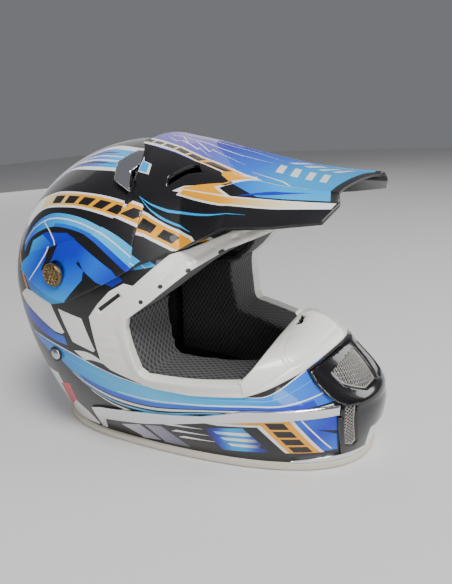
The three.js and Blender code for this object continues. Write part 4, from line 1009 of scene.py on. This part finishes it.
peak_layers = [
    ([(0.14, 1.04), (1.5, 1.06), (2.1, 1.42), (2.5, 1.9), (5.84, 1.96), (5.84, 3.0), (0.14, 3.0)],
     panel_paint),
    ([(1.9, 1.06), (1.2, 1.30), (0.4, 1.36), (1.3, 1.14)], ROYAL),
    *[(bolt(points, 0.035), WHITE) for points in ( [(5.7, 2.95), (5.2, 2.72), (4.9, 2.86), (4.2, 2.52),
     (4.0, 2.70), (3.1, 2.42), (3.2, 2.58), (2.2, 2.36)], [(5.4, 2.60), (4.6, 2.42), (4.5, 2.54),
     (3.5, 2.34), (3.6, 2.44), (2.9, 2.26)], [(5.4, 2.98), (4.4, 2.78), (3.6, 2.82), (2.6, 2.74),
     (1.9, 2.84)], [(1.9, 1.9), (1.2, 1.75), (0.5, 1.72), (0.8, 1.5)], [(2.0, 2.2), (1.2, 2.1), (0.9, 1.95),
     (0.4, 1.98)])],
    (strip(stripe_low, stripe_top, 0, 1), WHITE),
    (strip(stripe_low, stripe_top, 0.12, 0.88, 0.0, 0.97), fade((6, 2.1), (2.6, 2.0), WHITE, CREAM, YELLOW)),
    *rungs(stripe_low, stripe_top, 0.24, 0.76, 0.02, 0.96, 6, 0.84),
    # hook where the ladder turns back into the stripe below the crease
    ([(2.45, 1.84), (1.75, 2.06), (1.55, 1.92), (2.2, 1.30), (3.35, 1.02), (2.6, 0.9), (2.0, 1.0), (2.3, 1.2),
      (2.05, 1.42), (2.3, 1.62)], WHITE),
    ([(2.40, 1.86), (1.85, 2.00), (1.72, 1.92), (2.25, 1.36), (3.1, 1.04), (2.6, 0.94), (2.1, 1.0),
     (2.4, 1.2), (2.12, 1.42), (2.36, 1.64)], YELLOW),
    # plain slanted bars along the tip
    *repeated([(0.42, 2.36), (0.58, 2.36), (0.76, 2.86), (0.60, 2.86)],
              [(0.34, 0.02), (0.34, 0.02), (0.34, 0), (0.34, 0)], 4, WHITE),
    (strip(under_low, under_top, 0, 1), WHITE),
    (strip(under_low, under_top, 0.18, 0.86, 0.02, 0.9), fade((3.1, 0.9), (0.3, 0.8), YELLOW, YELLOW, CREAM,
     WHITE)),
    (bolt([(4.5, 0.98), (3.4, 0.70), (2.4, 0.52), (1.6, 0.44)], 0.05), CYAN),
    (bolt([(4.5, 0.98), (3.6, 0.62), (3.0, 0.40), (2.75, 0.24)], 0.04), CYAN),
    # the shell's bands carried on over the wing
    (strip(wing_top, wing_low, 0, 1), WHITE),
    (strip(wing_top, wing_low, 0.13, 0.87), YELLOW),
    *rungs(wing_top, wing_low, 0.28, 0.74, 0.06, 0.97, 3, 0.70),
    (strip(sash_top, sash_low, 0, 1), CYAN),
    (line(between(sash_top, sash_low, 0.35), 0.02, 0.5), WHITE),
    (strip(spread([(5.5, 1.42), (4.5, 1.34)]), spread([(5.6, 1.66), (4.6, 1.54)]), 0, 1), WHITE),
    (strip(spread([(5.35, 1.43), (4.62, 1.37)]), spread([(5.42, 1.63), (4.7, 1.54)]), 0, 1), CYAN),
    ([(6.0, 2.0), (5.86, 2.0), (5.86, 3.0), (6.0, 3.0)], BLACK),
]
peak_loop = in_peak([(0, 0), (6, 0), (6, 3), (0, 3)])
vent_hole = in_peak([(3.60, 1.12), (3.68, 1.30), (2.92, 1.82), (2.76, 1.56)])
peak_creases = [densify([(0.03, c), (5.97, c)], 0.03, closed=False) * PEAK_SPAN for c in (1, 2)]
patch("peak_top", peak_surface, peak_loop, [vent_hole], PAINT, "peak", "peak", "peak_plastic",
      step=2.2, bottom=-3.0, edge=0.9, layers=peak_layers, place=peak_place, to_domain=in_peak,
      creases=peak_creases, seam=lambda p: p[:, 1] > 3 * PEAK_SPAN[1] - 0.05, angle=24)
PIVOT_Y, PIVOT_Z = 58.0, 177.0
SCREW_X = -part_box("side_screw_right")[0][0] / MM         # outer face of the screw head
RIVET_Y, RIVET_Z = 82.0, 99.0
arm_hole = tidy_loop(to_shell(circle(PIVOT_Y, PIVOT_Z, 9.0, 40), 1.0))
pair("peak_arm", "peak", ARM, PAINT, "peak_plastic", "peak", [arm_hole], step=2.4, top=5.8, bottom=2.8,
     edge=0.9, layers=shell_layers)

# ---------------------------------------------------------------- screws and rivets


def disc(name, node, body, x0, centre, radius, height, mat, slot, holes, edge, side, relief, step):
    """Round plate on a plane facing sideways, with holes through it."""
    def surface(p, lift):
        lift = np.broadcast_to(lift, (len(p),))
        return np.stack([side * (x0 + lift), p[:, 0], p[:, 1]], 1)
    rims = [circle(*hole) for hole in holes]
    return patch(name, surface, circle(*centre, radius, 64), rims, mat, body, node, slot, step=step,
                 top=height, bottom=0.0, edge=edge, place=lambda p: p, to_domain=spread, relief=relief,
                 seam=no_seam, mirror=False, flip=side > 0, angle=40)


def holes_round(reach, radius, count, corners):
    """Ring of small holes round the screw's middle."""
    turns = [i * 2 * math.pi / count for i in range(count)]
    return [(PIVOT_Y + reach * math.cos(a), PIVOT_Z + reach * math.sin(a), radius, corners) for a in turns]


screw_holes = [*holes_round(6.3, 0.95, 12, 14), *holes_round(3.6, 0.6, 6, 12), (PIVOT_Y, PIVOT_Z, 0.9, 6)]


def screw_relief(p):
    r = np.hypot(p[:, 0] - PIVOT_Y, p[:, 1] - PIVOT_Z)
    return -0.5 * (1 - smooth(0.0, 0.5, np.abs(r - 8.2))) + 0.25 * (1 - smooth(0.8, 2.0, r))


def rivet_dome(p):
    return 1.5 * np.clip(1 - (np.hypot(p[:, 0] - RIVET_Y, p[:, 1] - RIVET_Z) / 5.2) ** 2, 0, 1)


for side, sign in (("_right", -1), ("_left", 1)):
    screw = ("side_screw" + side, "screw" + side, SCREW_X - 3.4, (PIVOT_Y, PIVOT_Z))
    disc("screw_head" + side, *screw, 9.7, 3.2, BRASS, "screw_brass", screw_holes, 1.0, sign,
         screw_relief, 0.7)
    disc("screw_back" + side, *screw, 9.2, 0.8, BLACK_MATT, "screw_brass", (), 0.3, sign, None, 1.5)
    rivet_low, rivet_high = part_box("strap_rivet" + side)
    outer_x = (-rivet_low[0] if sign < 0 else rivet_high[0]) / MM
    rivet = ("strap_rivet" + side, "helmet", outer_x - 2.8, (RIVET_Y, RIVET_Z))
    disc("rivet_head" + side, *rivet, 5.2, 1.2, STEEL, "rivet_steel", (), 0.6, sign, rivet_dome, 0.8)
    disc("rivet_rim" + side, *rivet, 6.8, 1.0, BLACK_MATT, "rivet_steel", (), 0.6, sign, None, 1.0)

# ---------------------------------------------------------------- soft and moulded pieces


def rounded(name, node, mat, voxel, passes, body="helmet"):
    """A node's shape with its facets and edges worn round."""
    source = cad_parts[node]
    piece = bpy.data.objects.new(name, source.data.copy())
    bpy.context.scene.collection.objects.link(piece)
    piece.matrix_world = Matrix.Identity(4)
    remesh = piece.modifiers.new("even", "REMESH")
    remesh.mode = "VOXEL"
    remesh.voxel_size = voxel * MM
    relax = piece.modifiers.new("relax", "SMOOTH")
    relax.factor = 0.5
    relax.iterations = passes
    bpy.context.view_layer.update()
    graph = bpy.context.evaluated_depsgraph_get()
    mesh = bpy.data.meshes.new_from_object(piece.evaluated_get(graph))
    piece.modifiers.clear()
    piece.data = mesh
    mesh.name = name
    mesh.materials.clear()
    mesh.materials.append(mat)
    mesh.shade_smooth()
    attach(piece, body)
    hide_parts(node)
    return piece


rounded("crown_lining", "comfort_liner", LINING, 2.4, 6)
rounded("brow_pad", "brow_roll", KNIT, 1.8, 6)
rounded("neck_pad", "neck_roll", LINING, 2.2, 8)
rounded("impact_foam", "foam_liner", FOAM, 2.8, 4)
rounded("chin_bar_foam", "chin_foam", FOAM, 2.2, 4)
for side in ("_right", "_left"):
    rounded("cheek_cushion" + side, "cheek_pad" + side, KNIT, 2.0, 9)
    rounded("strap_webbing" + side, "chin_strap" + side, WEBBING, 0.8, 2)
for row in ("lower", "upper"):
    rounded("ring_" + row, "d_ring_" + row, STEEL, 0.45, 3)
rounded("pull_tab", "strap_pull_tab", TAB, 0.7, 2)
rounded("snap_button", "strap_snap", BLACK_MATT, 0.45, 3)

for name, mat in (("rear_vent", BLACK_MATT), ("screw_insert", STEEL), ("strap_anchor_plate", STEEL)):
    for side in ("_right", "_left"):
        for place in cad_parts[name + side].material_slots:
            place.material = mat

# ---------------------------------------------------------------- floor, light and camera
bpy.ops.mesh.primitive_plane_add(size=8, location=(0, 0, -0.0004))
floor = bpy.context.object
floor.name = "floor"
floor_parts = material("floor_paper", (0.70, 0.69, 0.68), 0.75)
floor.data.materials.append(grain(floor_parts, 30, 0.02, 0.06))


CENTRE = Vector((0, 0.0, 0.14))


def lamp(name, place, size, power):
    data = bpy.data.lights.new(name, "AREA")
    data.size = size
    data.energy = power
    light = bpy.data.objects.new(name, data)
    bpy.context.scene.collection.objects.link(light)
    light.location = place
    light.rotation_euler = (CENTRE - Vector(place)).to_track_quat("-Z", "Y").to_euler()


lamp("key", (-0.7, -0.9, 1.8), 0.6, 44)
lamp("fill", (-1.9, -1.3, 0.8), 0.8, 16)
lamp("front", (0.7, -1.6, 0.9), 0.8, 12)
lamp("back", (1.2, 1.6, 1.0), 2.2, 14)
world = bpy.data.worlds.new("studio")
bpy.context.scene.world = world
world.use_nodes = True
world.node_tree.nodes["Background"].inputs["Color"].default_value = (0.80, 0.82, 0.87, 1)
world.node_tree.nodes["Background"].inputs["Strength"].default_value = 0.22

azimuth, elevation, roll = math.radians(-60.0), math.radians(18.1), math.radians(-3.2)
target, camera_distance = Vector((0.2879, 0.1416, 0.0221)), 0.8532
backward = Vector((math.sin(azimuth) * math.cos(elevation), -math.cos(azimuth) * math.cos(elevation),
                   math.sin(elevation)))
right = Vector((math.cos(azimuth), math.sin(azimuth), 0))
up = backward.cross(right)
across, upward = (right * math.cos(roll) + up * math.sin(roll), up * math.cos(roll) - right * math.sin(roll))
camera_data = bpy.data.cameras.new("camera")
camera_data.angle = math.radians(58.1)
camera_data.clip_start = 0.01
camera = bpy.data.objects.new("camera", camera_data)
bpy.context.scene.collection.objects.link(camera)
turn = Matrix((across, upward, backward)).transposed().to_4x4()
camera.matrix_world = Matrix.Translation(target + backward * camera_distance) @ turn
bpy.context.scene.camera = camera
